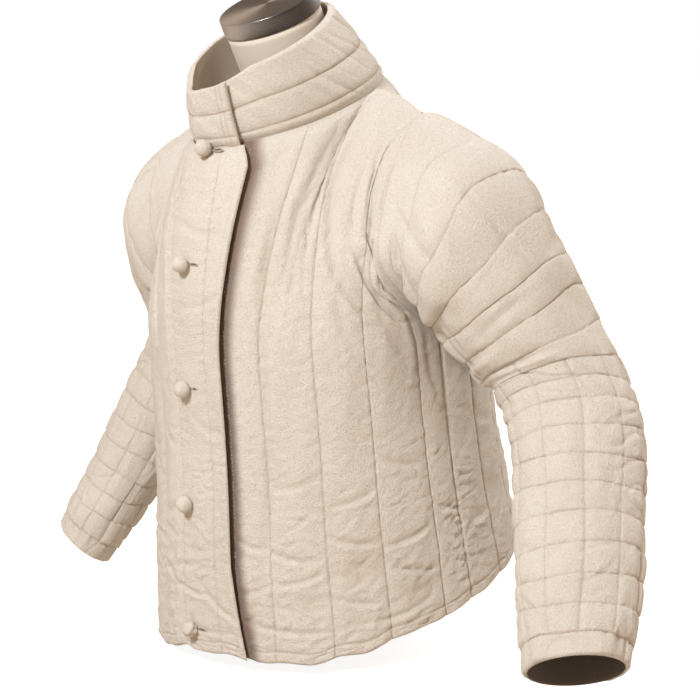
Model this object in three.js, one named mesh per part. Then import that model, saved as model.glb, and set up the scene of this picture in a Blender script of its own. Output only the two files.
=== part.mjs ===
// A quilted cotton fencing jacket with a standing collar and a buttoned front flap,
// worn by a limbless dress form with a steel neck cap. Millimetres, +Z up.
// The wearer faces -Y and the wearer's left is +X. Every piece of cloth is a wall:
// a plain inner surface, and an outer surface raised into padded channels.
import * as THREE from 'three';

// ---- driving sizes -------------------------------------------------------------------
const HEM_HEIGHT = 18;         // front hem above the surface that the form stands on
const SEAM_GAP = 0.3;          // between neighbouring pieces
const CHEST_LEVEL = 330;       // above the front hem; the panels turn to the shoulders here
const PANEL_WALL = 4;          // cloth and padding at a stitch line
const PANEL_PUFF = 3.4;        // how far a channel stands above its stitch lines
const SLEEVE_WALL = 4;
const SLEEVE_PUFF = 3.6;
const COLLAR_WALL = 5;
const COLLAR_PUFF = 1.6;
const SEAM_WALL = 3;           // thinner where a panel is sewn to the next piece
const SEAM_BLEND = 26;         // length over which a wall turns to its seam
const PUFF_FADE = 110;         // length over which the body's channels flatten to the top edge
const SQUARENESS = 0.032;      // how much fuller than an ellipse a body section is
const UNDERLAP_EDGE = -7;      // degrees where the left front ends, under the flap
const ROWS_LOW = 6;            // mesh rows from hem to chest level
const ROWS_HIGH = 7;           // and from chest level to the top edge
const SHOULDER_STEPS = 4;
const SHOULDER_ARCH = 6;       // rise of the shoulder seam above a straight line
const RING_COLUMNS = 30;       // mesh columns round a sleeve and its armhole
const SLEEVE_REST = 22;        // from the body's inner surface to the sleeve's, where they touch
const SQUARE_RUN = 9;          // length over which the sleeve leaves its seam squarely
const SQUARE_SHARE = 0.02;     // the same as a share of the sleeve's length
const SLEEVE_REST_RUN = 24;    // length over which the sleeve leaves the armhole seam
const LINE_COLUMNS = 3;        // mesh columns from one lengthwise sleeve line to the next

// ---- body --------------------------------------------------------------------------
// Half width, depth in front of and behind the middle, and the middle's place.
const BODY_SECTIONS = [
  { z: -20, half: 206, front: 203, back: 206, mid: -4 },
  { z: 0, half: 205, front: 202, back: 205, mid: -4 },
  { z: 60, half: 201, front: 197, back: 200, mid: -4 },
  { z: 120, half: 196, front: 191, back: 187, mid: -4 },
  { z: 190, half: 190, front: 184, back: 178, mid: -4 },
  { z: 260, half: 187, front: 180, back: 173, mid: -4 },
  { z: 330, half: 187, front: 178, back: 176, mid: -4 },
  { z: 400, half: 187, front: 175, back: 175, mid: -4 },
];

// Height of the hem, level in front and raised behind.
const HEM_LINE = [
  { theta: 0, z: 2 },
  { theta: 14, z: 1 },
  { theta: 24, z: -5 },
  { theta: 42, z: 1 },
  { theta: 60, z: 14 },
  { theta: 80, z: 28 },
  { theta: 100, z: 44 },
  { theta: 116, z: 60 },
  { theta: 140, z: 80 },
  { theta: 180, z: 88 },
];

// Stitch lines that run up the body, the same on both sides.
const STITCH_ANGLES = [12, 25, 43, 60, 79, 90, 106, 124, 142, 161, 180];

// Neckline: a tilted oval, low in front.
const NECKLINE = { mid: -14, z: 583, half: 88, depth: 117, drop: 27 };
const NECK_TILT = 0.8;         // rise of the seam's outward direction at the shoulders
const NECK_FLAT = 64;          // degrees from the front up to which it doesn't rise
const NECK_CORNER = 118;       // degrees round the neckline where the shoulder seam starts
const SHOULDER_TIP = new THREE.Vector3(165, 24, 569);

// Armhole of the wearer's left side, from the shoulder tip round the front.
const ARMHOLE = [
  { phi: 0, x: 165, y: 24, z: 569, nx: 0.3, ny: 0, nz: 0.95 },
  { phi: 45, x: 173, y: -22, z: 538, nx: 0.35, ny: -0.68, nz: 0.62 },
  { phi: 90, x: 175, y: -54, z: 484, nx: 0.3, ny: -0.95, nz: 0 },
  { phi: 135, x: 181, y: -72, z: 420, nx: 0.45, ny: -0.75, nz: -0.4 },
  { phi: 180, x: 188, y: -5, z: 362, nx: 0.6, ny: 0, nz: -0.8 },
  { phi: 225, x: 169, y: 80, z: 412, nx: 0.45, ny: 0.75, nz: -0.5 },
  { phi: 270, x: 168, y: 112, z: 482, nx: 0.25, ny: 0.97, nz: 0 },
  { phi: 315, x: 165, y: 80, z: 545, nx: 0.3, ny: 0.7, nz: 0.6 },
];

// Where each body angle meets the top edge, and the way the cloth runs as it gets there.
const TOP_EDGE = [
  { theta: 0, edge: 'neck', at: 0, tx: 0, ty: 0.5, tz: 0.86 },
  { theta: 12, edge: 'neck', at: 30, tx: -0.12, ty: 0.52, tz: 0.84 },
  { theta: 25, edge: 'neck', at: 64, tx: -0.25, ty: 0.62, tz: 0.75 },
  { theta: 40, edge: 'neck', at: NECK_CORNER, tx: -0.1, ty: 0.9, tz: 0.4 },
  { theta: 58, edge: 'armhole', at: 0, tx: 0.3, ty: 0.8, tz: 0.5 },
  { theta: 66, edge: 'armhole', at: 72, tx: 0.55, ty: 0.4, tz: 0.75 },
  { theta: 78, edge: 'armhole', at: 144, tx: 0.35, ty: 0, tz: 0.94 },
  { theta: 90, edge: 'armhole', at: 180, tx: 0, ty: 0, tz: 1 },
  { theta: 104, edge: 'armhole', at: 210, tx: 0.3, ty: 0, tz: 0.95 },
  { theta: 120, edge: 'armhole', at: 276, tx: 0.5, ty: -0.2, tz: 0.84 },
  { theta: 134, edge: 'armhole', at: 360, tx: 0.3, ty: -0.7, tz: 0.65 },
  { theta: 152, edge: 'neck', at: NECK_CORNER, tx: -0.1, ty: -0.8, tz: 0.55 },
  { theta: 180, edge: 'neck', at: 180, tx: 0, ty: -0.5, tz: 0.86 },
];
const FRONT_NECK_THETA = 40;
const FRONT_TIP_THETA = 58;
const SIDE_THETA = 90;
const BACK_TIP_THETA = 134;
const BACK_NECK_THETA = 152;

// How far the right front stands off the body surface as it laps over the left front.
const FLAP_LIFT = [
  { theta: -26, lift: 0 },
  { theta: -20, lift: 3 },
  { theta: -13, lift: 6.4 },
  { theta: -8, lift: 6.8 },
  { theta: 4, lift: 7.2 },
  { theta: 9, lift: 9 },
  { theta: 12, lift: 13 },
];

// Body angle of the right front's free edge, from the hem to the neckline.
const FLAP_EDGE = [
  { share: 0, theta: 16.5 },
  { share: 0.12, theta: 14.5 },
  { share: 0.3, theta: 12 },
  { share: 1, theta: 12 },
  { share: 1.4, theta: 13 },
  { share: 1.85, theta: 13.4 },
  { share: 2, theta: 10.5 },
];
const FLAP_WIDEST = 12;        // the angle that the flap's columns are laid out for

// Large soft folds in the body, each from one place to another, out (+) or in (-).
const BODY_FOLDS = [
  { fromTheta: 60, fromZ: 440, toTheta: 78, toZ: 372, width: 14, depth: 7 },
  { fromTheta: -60, fromZ: 440, toTheta: -78, toZ: 372, width: 14, depth: 6 },
  { fromTheta: 45, fromZ: 92, toTheta: 58, toZ: 96, width: 12, depth: -2.5 },
  { fromTheta: 64, fromZ: 58, toTheta: 77, toZ: 70, width: 12, depth: -2.5 },
  { fromTheta: 27, fromZ: 60, toTheta: 41, toZ: 66, width: 11, depth: -2 },
  { fromTheta: 108, fromZ: 150, toTheta: 122, toZ: 140, width: 13, depth: -3 },
  { fromTheta: -150, fromZ: 150, toTheta: -166, toZ: 138, width: 13, depth: -3 },
];

// ---- sleeves ---------------------------------------------------------------------
// Sections of the sleeves below their armholes, on the wearer's left: centre, direction,
// radii of the inner surface, and the share of the sleeve's length. The narrow radius lies
// turned towards the front by an angle, because the forearms hang a little flattened.
const LEFT_SLEEVE = [
  { at: 0.13, x: 222, y: 22, z: 436, dx: 0.88, dy: 0.15, dz: -0.45, narrow: 86, wide: 89, turn: 45 },
  { at: 0.27, x: 241, y: 40, z: 382, dx: 0.58, dy: 0.28, dz: -0.77, narrow: 78, wide: 81, turn: 45 },
  { at: 0.4, x: 270, y: 53, z: 328, dx: 0.48, dy: 0.14, dz: -0.86, narrow: 66, wide: 69, turn: 45 },
  { at: 0.51, x: 301, y: 60, z: 280, dx: 0.42, dy: -0.2, dz: -0.88, narrow: 56, wide: 64, turn: 45 },
  { at: 0.63, x: 338, y: 41, z: 225, dx: 0.36, dy: -0.42, dz: -0.83, narrow: 48, wide: 65, turn: 45 },
  { at: 0.82, x: 386, y: -24, z: 118, dx: 0.34, dy: -0.44, dz: -0.83, narrow: 44, wide: 61, turn: 45 },
  { at: 1, x: 429, y: -92, z: 18, dx: 0.42, dy: -0.47, dz: -0.78, narrow: 43, wide: 50, turn: 45 },
];
const RIGHT_SLEEVE = [
  { at: 0.13, x: 222, y: 22, z: 436, dx: 0.88, dy: 0.15, dz: -0.45, narrow: 87, wide: 87, turn: 45 },
  { at: 0.27, x: 240, y: 40, z: 382, dx: 0.58, dy: 0.28, dz: -0.77, narrow: 80, wide: 80, turn: 45 },
  { at: 0.4, x: 272, y: 58, z: 330, dx: 0.48, dy: 0.14, dz: -0.86, narrow: 62, wide: 72, turn: 45 },
  { at: 0.51, x: 297, y: 64, z: 284, dx: 0.42, dy: -0.2, dz: -0.88, narrow: 50, wide: 64, turn: 45 },
  { at: 0.63, x: 323, y: 42, z: 230, dx: 0.34, dy: -0.4, dz: -0.85, narrow: 45, wide: 61, turn: 45 },
  { at: 0.82, x: 363, y: -10, z: 128, dx: 0.32, dy: -0.41, dz: -0.85, narrow: 41, wide: 58, turn: 45 },
  { at: 1, x: 404, y: -63, z: 36, dx: 0.45, dy: -0.5, dz: -0.74, narrow: 33, wide: 48, turn: 45 },
];
const SLEEVE_OUTWARD = new THREE.Vector3(0.85, 0, 0.5);   // side of the section at phi 0

// Stitch lines round a sleeve, as shares of its length: wide bands above the elbow, then
// the rows of a grid that also has lengthwise lines.
const UPPER_LINES = [0.075, 0.15, 0.225, 0.3, 0.37, 0.43, 0.465];
const GRID_START = 0.5;
const GRID_ROWS = 10;
const CUFF_HEM = 0.035;        // plain turned edge, a share of the sleeve's length

const SLEEVE_FOLDS = [
  { at: 0.485, phi: 200, wide: 0.02, round: 70, depth: -7 },
  { at: 0.52, phi: 190, wide: 0.02, round: 60, depth: 5 },
  { at: 0.445, phi: 195, wide: 0.018, round: 60, depth: 5 },
  { at: 0.2, phi: 110, wide: 0.03, round: 30, depth: 4 },
];

// ---- collar, form, buttons ------------------------------------------------------------
const COLLAR_TOP = { mid: -53, z: 665, half: 73, depth: 82, drop: 34 };
const COLLAR_BULGE = 2;
const COLLAR_ROWS = 6;
const COLLAR_UNDER = -8;       // degrees: the left end, under the right end
const COLLAR_OVER = 384;       // degrees: the right end, on top
const COLLAR_LIFT = [
  { alpha: -8, lift: 0 },
  { alpha: 325, lift: 0 },
  { alpha: 350, lift: 8 },
  { alpha: 372, lift: 8.6 },
  { alpha: 384, lift: 12.5 },
];

// How far the collar's top edge sinks towards its two ends in front.
const COLLAR_DROOP = [
  { alpha: -8, drop: 14 },
  { alpha: 10, drop: 11 },
  { alpha: 24, drop: 7 },
  { alpha: 42, drop: 0 },
  { alpha: 270, drop: 3 },
  { alpha: 300, drop: 7 },
  { alpha: 318, drop: 19 },
  { alpha: 350, drop: 16 },
  { alpha: 384, drop: 10 },
];

// Sections of the dress form, heights above the front hem; tilt leans a ring forward.
const FORM_SECTIONS = [
  { z: -18, half: 98, front: 88, back: 86, mid: -5, tilt: 0 },
  { z: -14, half: 108, front: 98, back: 96, mid: -5, tilt: 0 },
  { z: 0, half: 124, front: 110, back: 106, mid: -5, tilt: 0 },
  { z: 60, half: 146, front: 120, back: 118, mid: -5, tilt: 0 },
  { z: 180, half: 138, front: 110, back: 104, mid: -5, tilt: 0 },
  { z: 320, half: 160, front: 128, back: 116, mid: -2, tilt: 0 },
  { z: 420, half: 162, front: 126, back: 126, mid: 4, tilt: 0 },
  { z: 490, half: 156, front: 100, back: 112, mid: 12, tilt: 2 },
  { z: 530, half: 142, front: 70, back: 84, mid: 20, tilt: 4 },
  { z: 558.1, half: 120, front: 50, back: 60, mid: 24, tilt: 6 },
  { z: 576.1, half: 88, front: 46, back: 48, mid: 20, tilt: 10 },
  { z: 594, half: 64, front: 50, back: 50, mid: 8, tilt: 16 },
  { z: 620, half: 56, front: 54, back: 54, mid: -6, tilt: 20 },
  { z: 682, half: 55, front: 55, back: 55, mid: -30, tilt: 20 },
];
const FORM_COLUMNS = 24;
const CAP = { radius: 56.5, thick: 20, tilt: 20, bevel: 1.2, columns: 36 };

const BUTTON_RADIUS = 9.2;
const BUTTON_BASE = 4.4;
const BUTTONS = [
  { name: 'button_1', theta: 0.8, z: 546 },
  { name: 'button_2', theta: -2, z: 430 },
  { name: 'button_3', theta: -4.3, z: 295 },
  { name: 'button_4', theta: -6.3, z: 164 },
  { name: 'button_5', theta: -4.7, z: 25 },
];

// ---- materials ---------------------------------------------------------------------
const cotton = new THREE.MeshStandardMaterial({ color: 0xd9cbb4, roughness: 0.95, metalness: 0 });
const cover = new THREE.MeshStandardMaterial({ color: 0xe2d5c2, roughness: 0.9, metalness: 0 });
const steel = new THREE.MeshStandardMaterial({ color: 0x9a9794, roughness: 0.32, metalness: 1 });

// ---- small maths -------------------------------------------------------------------
const DEG = Math.PI / 180;
const vec = (x, y, z) => new THREE.Vector3(x, y, z);
const smooth = (t) => t * t * (3 - 2 * t);
const clamp01 = (t) => Math.min(1, Math.max(0, t));
const between = (a, b, count) => Array.from({ length: count + 1 }, (_, i) => a + (b - a) * i / count);

// Value of one column of a table at x, on a smooth curve through its rows.
function along(table, axis, x, column) {
  const last = table.length - 1;
  let i = 0;
  while (i < last - 1 && x > table[i + 1][axis]) i += 1;
  const a = table[i];
  const b = table[i + 1];
  const before = table[Math.max(0, i - 1)];
  const after = table[Math.min(last, i + 2)];
  const span = b[axis] - a[axis];
  const t = clamp01((x - a[axis]) / span);
  const slopeA = (b[column] - before[column]) / (b[axis] - before[axis]) * span;
  const slopeB = (after[column] - a[column]) / (after[axis] - a[axis]) * span;
  return hermite(a[column], b[column], slopeA, slopeB, t);
}

function hermite(a, b, slopeA, slopeB, t) {
  const t2 = t * t;
  const t3 = t2 * t;
  return (2 * t3 - 3 * t2 + 1) * a + (t3 - 2 * t2 + t) * slopeA
    + (3 * t2 - 2 * t3) * b + (t3 - t2) * slopeB;
}

// The same for a table that is straight from row to row.
function straight(table, axis, x, column) {
  const last = table.length - 1;
  let i = 0;
  while (i < last - 1 && x > table[i + 1][axis]) i += 1;
  const t = clamp01((x - table[i][axis]) / (table[i + 1][axis] - table[i][axis]));
  return table[i][column] + (table[i + 1][column] - table[i][column]) * t;
}

const bump = (x) => Math.exp(-x * x);

// ---- edges that pieces share ------------------------------------------------------------
function ovalPoint(oval, alpha) {
  const s = Math.sin(alpha * DEG);
  const c = Math.cos(alpha * DEG);
  return vec(oval.half * s, oval.mid - oval.depth * c, oval.z - oval.drop * c);
}

const NECKLINE_UP = vec(0, -NECKLINE.drop, NECKLINE.depth).normalize();

// Outward at the neckline: in its own plane in front, where layers lap, and tilted up towards
// the shoulders and behind.
function necklineNormal(alpha) {
  const across = vec(1, 0, 0).multiplyScalar(Math.sin(alpha * DEG));
  const forward = vec(0, -NECKLINE.depth, -NECKLINE.drop).normalize().multiplyScalar(Math.cos(alpha * DEG));
  const fromFront = Math.acos(Math.cos(alpha * DEG)) / DEG;
  const tilt = NECK_TILT * smooth(clamp01((fromFront - NECK_FLAT) / (NECK_CORNER - NECK_FLAT)));
  return across.add(forward).addScaledVector(NECKLINE_UP, tilt).normalize();
}

function armholeAt(phi) {
  const turn = ((phi % 360) + 360) % 360;
  const closed = [
    { ...ARMHOLE[7], phi: -45 }, ...ARMHOLE, { ...ARMHOLE[0], phi: 360 }, { ...ARMHOLE[1], phi: 405 },
  ];
  const value = (column) => along(closed, 'phi', turn, column);
  return {
    point: vec(value('x'), value('y'), value('z')),
    normal: vec(value('nx'), value('ny'), value('nz')).normalize(),
  };
}

function shoulderAt(share) {
  const neck = ovalPoint(NECKLINE, NECK_CORNER);
  const point = neck.lerp(SHOULDER_TIP, share);
  point.z += SHOULDER_ARCH * Math.sin(Math.PI * share);
  const normal = necklineNormal(NECK_CORNER).lerp(armholeAt(0).normal, clamp01(share * 3));
  return { point, normal: normal.normalize() };
}

// The top edge of the left half of the body at an angle from 0 to 180 degrees.
function topEdge(theta) {
  const tangent = vec(straight(TOP_EDGE, 'theta', theta, 'tx'),
    straight(TOP_EDGE, 'theta', theta, 'ty'), straight(TOP_EDGE, 'theta', theta, 'tz')).normalize();
  const onFrontShoulder = theta > FRONT_NECK_THETA && theta < FRONT_TIP_THETA;
  const onBackShoulder = theta > BACK_TIP_THETA && theta < BACK_NECK_THETA;
  if (onFrontShoulder) {
    const share = (theta - FRONT_NECK_THETA) / (FRONT_TIP_THETA - FRONT_NECK_THETA);
    return { ...shoulderAt(share), tangent };
  }
  if (onBackShoulder) {
    const share = (BACK_NECK_THETA - theta) / (BACK_NECK_THETA - BACK_TIP_THETA);
    return { ...shoulderAt(share), tangent };
  }
  const at = straight(TOP_EDGE, 'theta', theta, 'at');
  if (theta <= FRONT_NECK_THETA || theta >= BACK_NECK_THETA) {
    return { point: ovalPoint(NECKLINE, at), normal: necklineNormal(at), tangent };
  }
  return { ...armholeAt(at), tangent };
}

// ---- body surface ----------------------------------------------------------------------
function lowPoint(theta, z) {
  const s = Math.sin(theta * DEG);
  const c = Math.cos(theta * DEG);
  const full = 1 + SQUARENESS * Math.sin(2 * theta * DEG) ** 2;
  const value = (column) => along(BODY_SECTIONS, 'z', z, column);
  return vec(value('half') * s * full, value('mid') - value(c > 0 ? 'front' : 'back') * c * full, z);
}

// Point on the cloth's inner surface. Share runs 0 to 1 from the hem to chest level and 1
// to 2 from there to the top edge.
function bodySurface(theta, share) {
  const angle = Math.abs(theta);
  const side = theta < 0 ? -1 : 1;
  const point = share <= 1 ? lowerBody(angle, share) : upperBody(angle, share - 1);
  point.x *= side;
  return point;
}

function lowerBody(angle, share) {
  const hem = along(HEM_LINE, 'theta', angle, 'z');
  return lowPoint(angle, hem + (CHEST_LEVEL - hem) * share);
}

function upperBody(angle, t) {
  const chest = lowPoint(angle, CHEST_LEVEL);
  const { point: top, tangent } = topEdge(angle);
  const reach = chest.distanceTo(top);
  const start = lowPoint(angle, CHEST_LEVEL + 10).sub(chest).normalize().multiplyScalar(reach);
  const end = tangent.multiplyScalar(reach);
  return vec(hermite(chest.x, top.x, start.x, end.x, t), hermite(chest.y, top.y, start.y, end.y, t),
    hermite(chest.z, top.z, start.z, end.z, t));
}

function bodyNormal(theta, share) {
  const stepTheta = 0.4;
  const stepShare = 0.01;
  const high = Math.min(2, share + stepShare);
  const low = Math.max(0, share - stepShare);
  const across = bodySurface(theta + stepTheta, share).sub(bodySurface(theta - stepTheta, share));
  const up = bodySurface(theta, high).sub(bodySurface(theta, low));
  return across.cross(up).normalize();
}

// Outward direction of a panel's wall, turned to the shared direction at its top seam.
function panelNormal(theta, share) {
  const own = bodyNormal(theta, share);
  const edge = topEdge(Math.abs(theta));
  const distance = bodySurface(theta, share).distanceTo(bodySurface(theta, 2));
  const weight = smooth(clamp01(1 - distance / SEAM_BLEND));
  const shared = edge.normal.clone();
  if (theta < 0) shared.x *= -1;
  return own.lerp(shared, weight).normalize();
}

// Height of a padded channel at an angle: full between stitch lines, nothing on them.
function channelPuff(theta) {
  const angle = Math.abs(theta);
  const last = STITCH_ANGLES.length - 1;
  if (angle <= STITCH_ANGLES[0]) return 0;
  let i = 0;
  while (i < last - 1 && angle > STITCH_ANGLES[i + 1]) i += 1;
  const t = clamp01((angle - STITCH_ANGLES[i]) / (STITCH_ANGLES[i + 1] - STITCH_ANGLES[i]));
  return Math.sin(Math.PI * t) ** 0.6;
}

function foldOffset(theta, z) {
  return BODY_FOLDS.reduce((sum, fold) => {
    const radius = 190;
    const run = vec((fold.toTheta - fold.fromTheta) * DEG * radius, fold.toZ - fold.fromZ, 0);
    const here = vec((theta - fold.fromTheta) * DEG * radius, z - fold.fromZ, 0);
    const length = run.length();
    const t = here.dot(run) / length;
    const off = Math.abs(here.x * run.y - here.y * run.x) / length;
    const past = Math.max(0, -t, t - length);
    return sum + fold.depth * bump(off / fold.width) * bump(past / fold.width);
  }, 0);
}

// ---- mesh making -------------------------------------------------------------------
// A closed wall between two grids of points. Each grid is a list of rows; the columns
// either close on themselves or end in two side edges. The quads of the top edge are split
// the other way where the piece sewn to them is.
function wall(inner, outer, ring, otherSplit = () => false) {
  const positions = [];
  const index = [];
  const add = (grid) => grid.map((row) => row.map((p) => {
    positions.push(p.x, p.y, p.z);
    return positions.length / 3 - 1;
  }));
  const quad = (a, b, c, d) => index.push(a, b, c, a, c, d);
  const inside = add(inner);
  const outside = add(outer);
  const columns = inner[0].length;
  const spans = ring ? columns : columns - 1;
  const next = (j) => (j + 1) % columns;
  const skin = (grid, flip) => {
    for (let i = 0; i < grid.length - 1; i += 1) {
      for (let j = 0; j < spans; j += 1) {
        const corners = [grid[i][j], grid[i][next(j)], grid[i + 1][next(j)], grid[i + 1][j]];
        quad(...(flip ? corners.reverse() : corners));
      }
    }
  };
  skin(outside, false);
  skin(inside, true);
  const top = inside.length - 1;
  const outTop = outside.length - 1;
  for (let j = 0; j < spans; j += 1) {
    quad(inside[0][j], inside[0][next(j)], outside[0][next(j)], outside[0][j]);
    const rim = [outside[outTop][j], outside[outTop][next(j)], inside[top][next(j)], inside[top][j]];
    if (otherSplit(j)) rim.push(rim.shift());
    quad(...rim);
  }
  if (!ring) {
    const end = columns - 1;
    for (let i = 0; i < inside.length - 1; i += 1) {
      quad(inside[i][0], outside[i][0], outside[i + 1][0], inside[i + 1][0]);
      quad(outside[i][end], inside[i][end], inside[i + 1][end], outside[i + 1][end]);
    }
  }
  return geometry(positions, index);
}

function geometry(positions, index) {
  const shape = new THREE.BufferGeometry();
  shape.setAttribute('position', new THREE.Float32BufferAttribute(positions, 3));
  shape.setIndex(index);
  shape.computeVertexNormals();
  return shape;
}

// A closed solid through stacked rings of points, with a flat fan at each end.
function loft(rings) {
  const positions = rings.flat().flatMap((p) => [p.x, p.y, p.z]);
  const count = rings[0].length;
  const index = [];
  for (let i = 0; i < rings.length - 1; i += 1) {
    for (let j = 0; j < count; j += 1) {
      const k = (j + 1) % count;
      const a = i * count;
      const b = a + count;
      index.push(a + j, a + k, b + k, a + j, b + k, b + j);
    }
  }
  const last = (rings.length - 1) * count;
  for (let j = 1; j < count - 1; j += 1) {
    index.push(0, j + 1, j);
    index.push(last, last + j, last + j + 1);
  }
  return geometry(positions, index);
}

// ---- panels ------------------------------------------------------------------------
const ROW_SHARES = [...between(0, 1, ROWS_LOW), ...between(1, 2, ROWS_HIGH).slice(1)];

// Body angles of a panel's columns on the left half: stitch lines and channel middles in
// the neck part, even steps along the shoulder, and the sleeve's own columns at the armhole.
function columnAngles() {
  const fill = (list) => list.flatMap((a, i) => (i === list.length - 1 ? [a]
    : [a, a + (list[i + 1] - a) * 0.28, a + (list[i + 1] - a) * 0.72]));
  const armholeThetas = (from, to) => between(0, 180, RING_COLUMNS / 2).map((phi) => {
    const target = from === FRONT_TIP_THETA ? phi : 180 + phi;
    let low = from;
    let high = to;
    for (let i = 0; i < 40; i += 1) {
      const middle = (low + high) / 2;
      if (straight(TOP_EDGE, 'theta', middle, 'at') < target) low = middle;
      else high = middle;
    }
    return (low + high) / 2;
  });
  return {
    frontNeck: [...fill([12, 25]), ...between(25, FRONT_NECK_THETA, 5)],
    frontShoulder: between(FRONT_NECK_THETA, FRONT_TIP_THETA, SHOULDER_STEPS),
    frontArmhole: armholeThetas(FRONT_TIP_THETA, SIDE_THETA),
    backArmhole: armholeThetas(SIDE_THETA, BACK_TIP_THETA),
    backShoulder: between(BACK_TIP_THETA, BACK_NECK_THETA, SHOULDER_STEPS),
    backNeck: fill([BACK_NECK_THETA, 161, 180]),
  };
}

const join = (...lists) => lists.flat().filter((a, i, all) => i === 0 || Math.abs(a - all[i - 1]) > 1e-6);

// Small step from the seam line back into the panel, square to each seam that meets there.
function seamStep(theta) {
  const angle = Math.abs(theta);
  const inFront = angle < SIDE_THETA;
  const way = vec(0, 0, 0);
  const atNeck = angle <= FRONT_NECK_THETA || angle >= BACK_NECK_THETA;
  if (atNeck) way.add(NECKLINE_UP);
  if (inFront ? angle >= FRONT_NECK_THETA && angle <= FRONT_TIP_THETA
    : angle >= BACK_TIP_THETA && angle <= BACK_NECK_THETA) {
    const run = SHOULDER_TIP.clone().sub(ovalPoint(NECKLINE, NECK_CORNER));
    const across = run.cross(topEdge(angle).normal).normalize();
    way.addScaledVector(across, across.y > 0 === inFront ? 1 : -1);
  }
  if (angle >= FRONT_TIP_THETA && angle <= BACK_TIP_THETA) {
    way.add(armholeWay(straight(TOP_EDGE, 'theta', angle, 'at')));
  }
  if (theta < 0) way.x *= -1;
  return way.multiplyScalar(-SEAM_GAP / 2);
}

// A body panel through a list of angles. Its top edge stops short of the seam line, and its
// first and last columns stop short of the side seams where they are told to.
function panel(angles, options) {
  const { lift = () => 0, place = (a) => a, seamFirst = false, seamLast = false } = options;
  const last = angles.length - 1;
  const inset = SEAM_GAP / 2 / 195 / DEG;
  const inner = [];
  const outer = [];
  ROW_SHARES.forEach((share) => {
    const innerRow = [];
    const outerRow = [];
    angles.forEach((angle, j) => {
      let theta = place(angle, share);
      if (j === 0 && seamFirst) theta += inset;
      if (j === last && seamLast) theta -= inset;
      const base = bodySurface(theta, share);
      const normal = panelNormal(place(angle, share), share);
      const topDistance = base.distanceTo(bodySurface(theta, 2));
      const seamed = smooth(clamp01(topDistance / SEAM_BLEND));
      const rise = lift(angle) + foldOffset(theta, base.z) * seamed;
      const puff = PANEL_PUFF * channelPuff(theta) * smooth(clamp01(topDistance / PUFF_FADE));
      const thick = SEAM_WALL + (PANEL_WALL - SEAM_WALL) * seamed + puff;
      if (share === 2) base.add(seamStep(theta));
      innerRow.push(base.clone().addScaledVector(normal, rise));
      outerRow.push(base.clone().addScaledVector(normal, rise + thick));
    });
    inner.push(innerRow);
    outer.push(outerRow);
  });
  return wall(inner, outer, false, (j) => rimSplit(angles[j], angles[j + 1]));
}

// Whether a quad of a panel's top edge is split the other way: all along the armhole, and on
// the shoulders where the columns run outwards from the neck.
function rimSplit(a, b) {
  const middle = Math.abs(a + b) / 2;
  if (middle > FRONT_TIP_THETA && middle < BACK_TIP_THETA) return true;
  return middle < SIDE_THETA ? Math.abs(b) > Math.abs(a) : Math.abs(b) < Math.abs(a);
}

function leftFront() {
  const { frontNeck, frontShoulder, frontArmhole } = columnAngles();
  const angles = join([UNDERLAP_EDGE, 0, 6], frontNeck, frontShoulder, frontArmhole);
  return panel(angles, { seamLast: true });
}

function rightFront() {
  const { frontNeck, frontShoulder, frontArmhole } = columnAngles();
  const side = join(frontNeck, frontShoulder, frontArmhole).map((a) => -a).reverse();
  const angles = join(side, [-8, -4, 0, 4, 8, 10.5, FLAP_WIDEST]);
  const lift = (theta) => straight(FLAP_LIFT, 'theta', theta, 'lift');
  const place = (angle, share) => (angle <= 0 ? angle
    : angle * straight(FLAP_EDGE, 'share', share, 'theta') / FLAP_WIDEST);
  return panel(angles, { lift, place, seamFirst: true });
}

function back() {
  const { backArmhole, backShoulder, backNeck } = columnAngles();
  const left = join(backArmhole, backShoulder, backNeck);
  const right = left.slice(0, -1).map((a) => 360 - a).reverse();
  return backPanel([...left, ...right]);
}

// The back crosses 180 degrees, so angles past it are those of the right half.
function backPanel(angles) {
  const half = angles.map((a) => (a > 180 ? a - 360 : a));
  return panel(half, { seamFirst: true, seamLast: true });
}

// ---- sleeve ------------------------------------------------------------------------
function sectionPoint(section, phi) {
  const direction = vec(section.dx, section.dy, section.dz).normalize();
  const outward = SLEEVE_OUTWARD.clone().addScaledVector(direction, -SLEEVE_OUTWARD.dot(direction)).normalize();
  const front = vec(0, 0, 0).crossVectors(direction, outward);
  const turn = section.turn * DEG;
  const narrow = section.narrow * Math.cos(phi * DEG - turn);
  const wide = section.wide * Math.sin(phi * DEG - turn);
  return vec(section.x, section.y, section.z)
    .addScaledVector(outward, narrow * Math.cos(turn) - wide * Math.sin(turn))
    .addScaledVector(front, narrow * Math.sin(turn) + wide * Math.cos(turn));
}

// The way off the armhole edge, square to the edge and to its shared normal.
function armholeWay(phi) {
  const run = armholeAt(phi + 2).point.sub(armholeAt(phi - 2).point);
  const way = run.cross(armholeAt(phi).normal).normalize();
  return way.x < 0 ? way.negate() : way;
}

function sleeveSurface(sections, phi, at) {
  const way = armholeWay(phi);
  const start = armholeAt(phi).point.addScaledVector(way, SEAM_GAP);
  const square = start.clone().addScaledVector(way, SQUARE_RUN);
  const rows = [{ at: 0, x: start.x, y: start.y, z: start.z },
    { at: SQUARE_SHARE, x: square.x, y: square.y, z: square.z }];
  sections.forEach((section) => {
    const p = sectionPoint(section, phi);
    rows.push({ at: section.at, x: p.x, y: p.y, z: p.z });
  });
  const point = vec(along(rows, 'at', at, 'x'), along(rows, 'at', at, 'y'), along(rows, 'at', at, 'z'));
  return clearOfBody(point, start);
}

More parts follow.
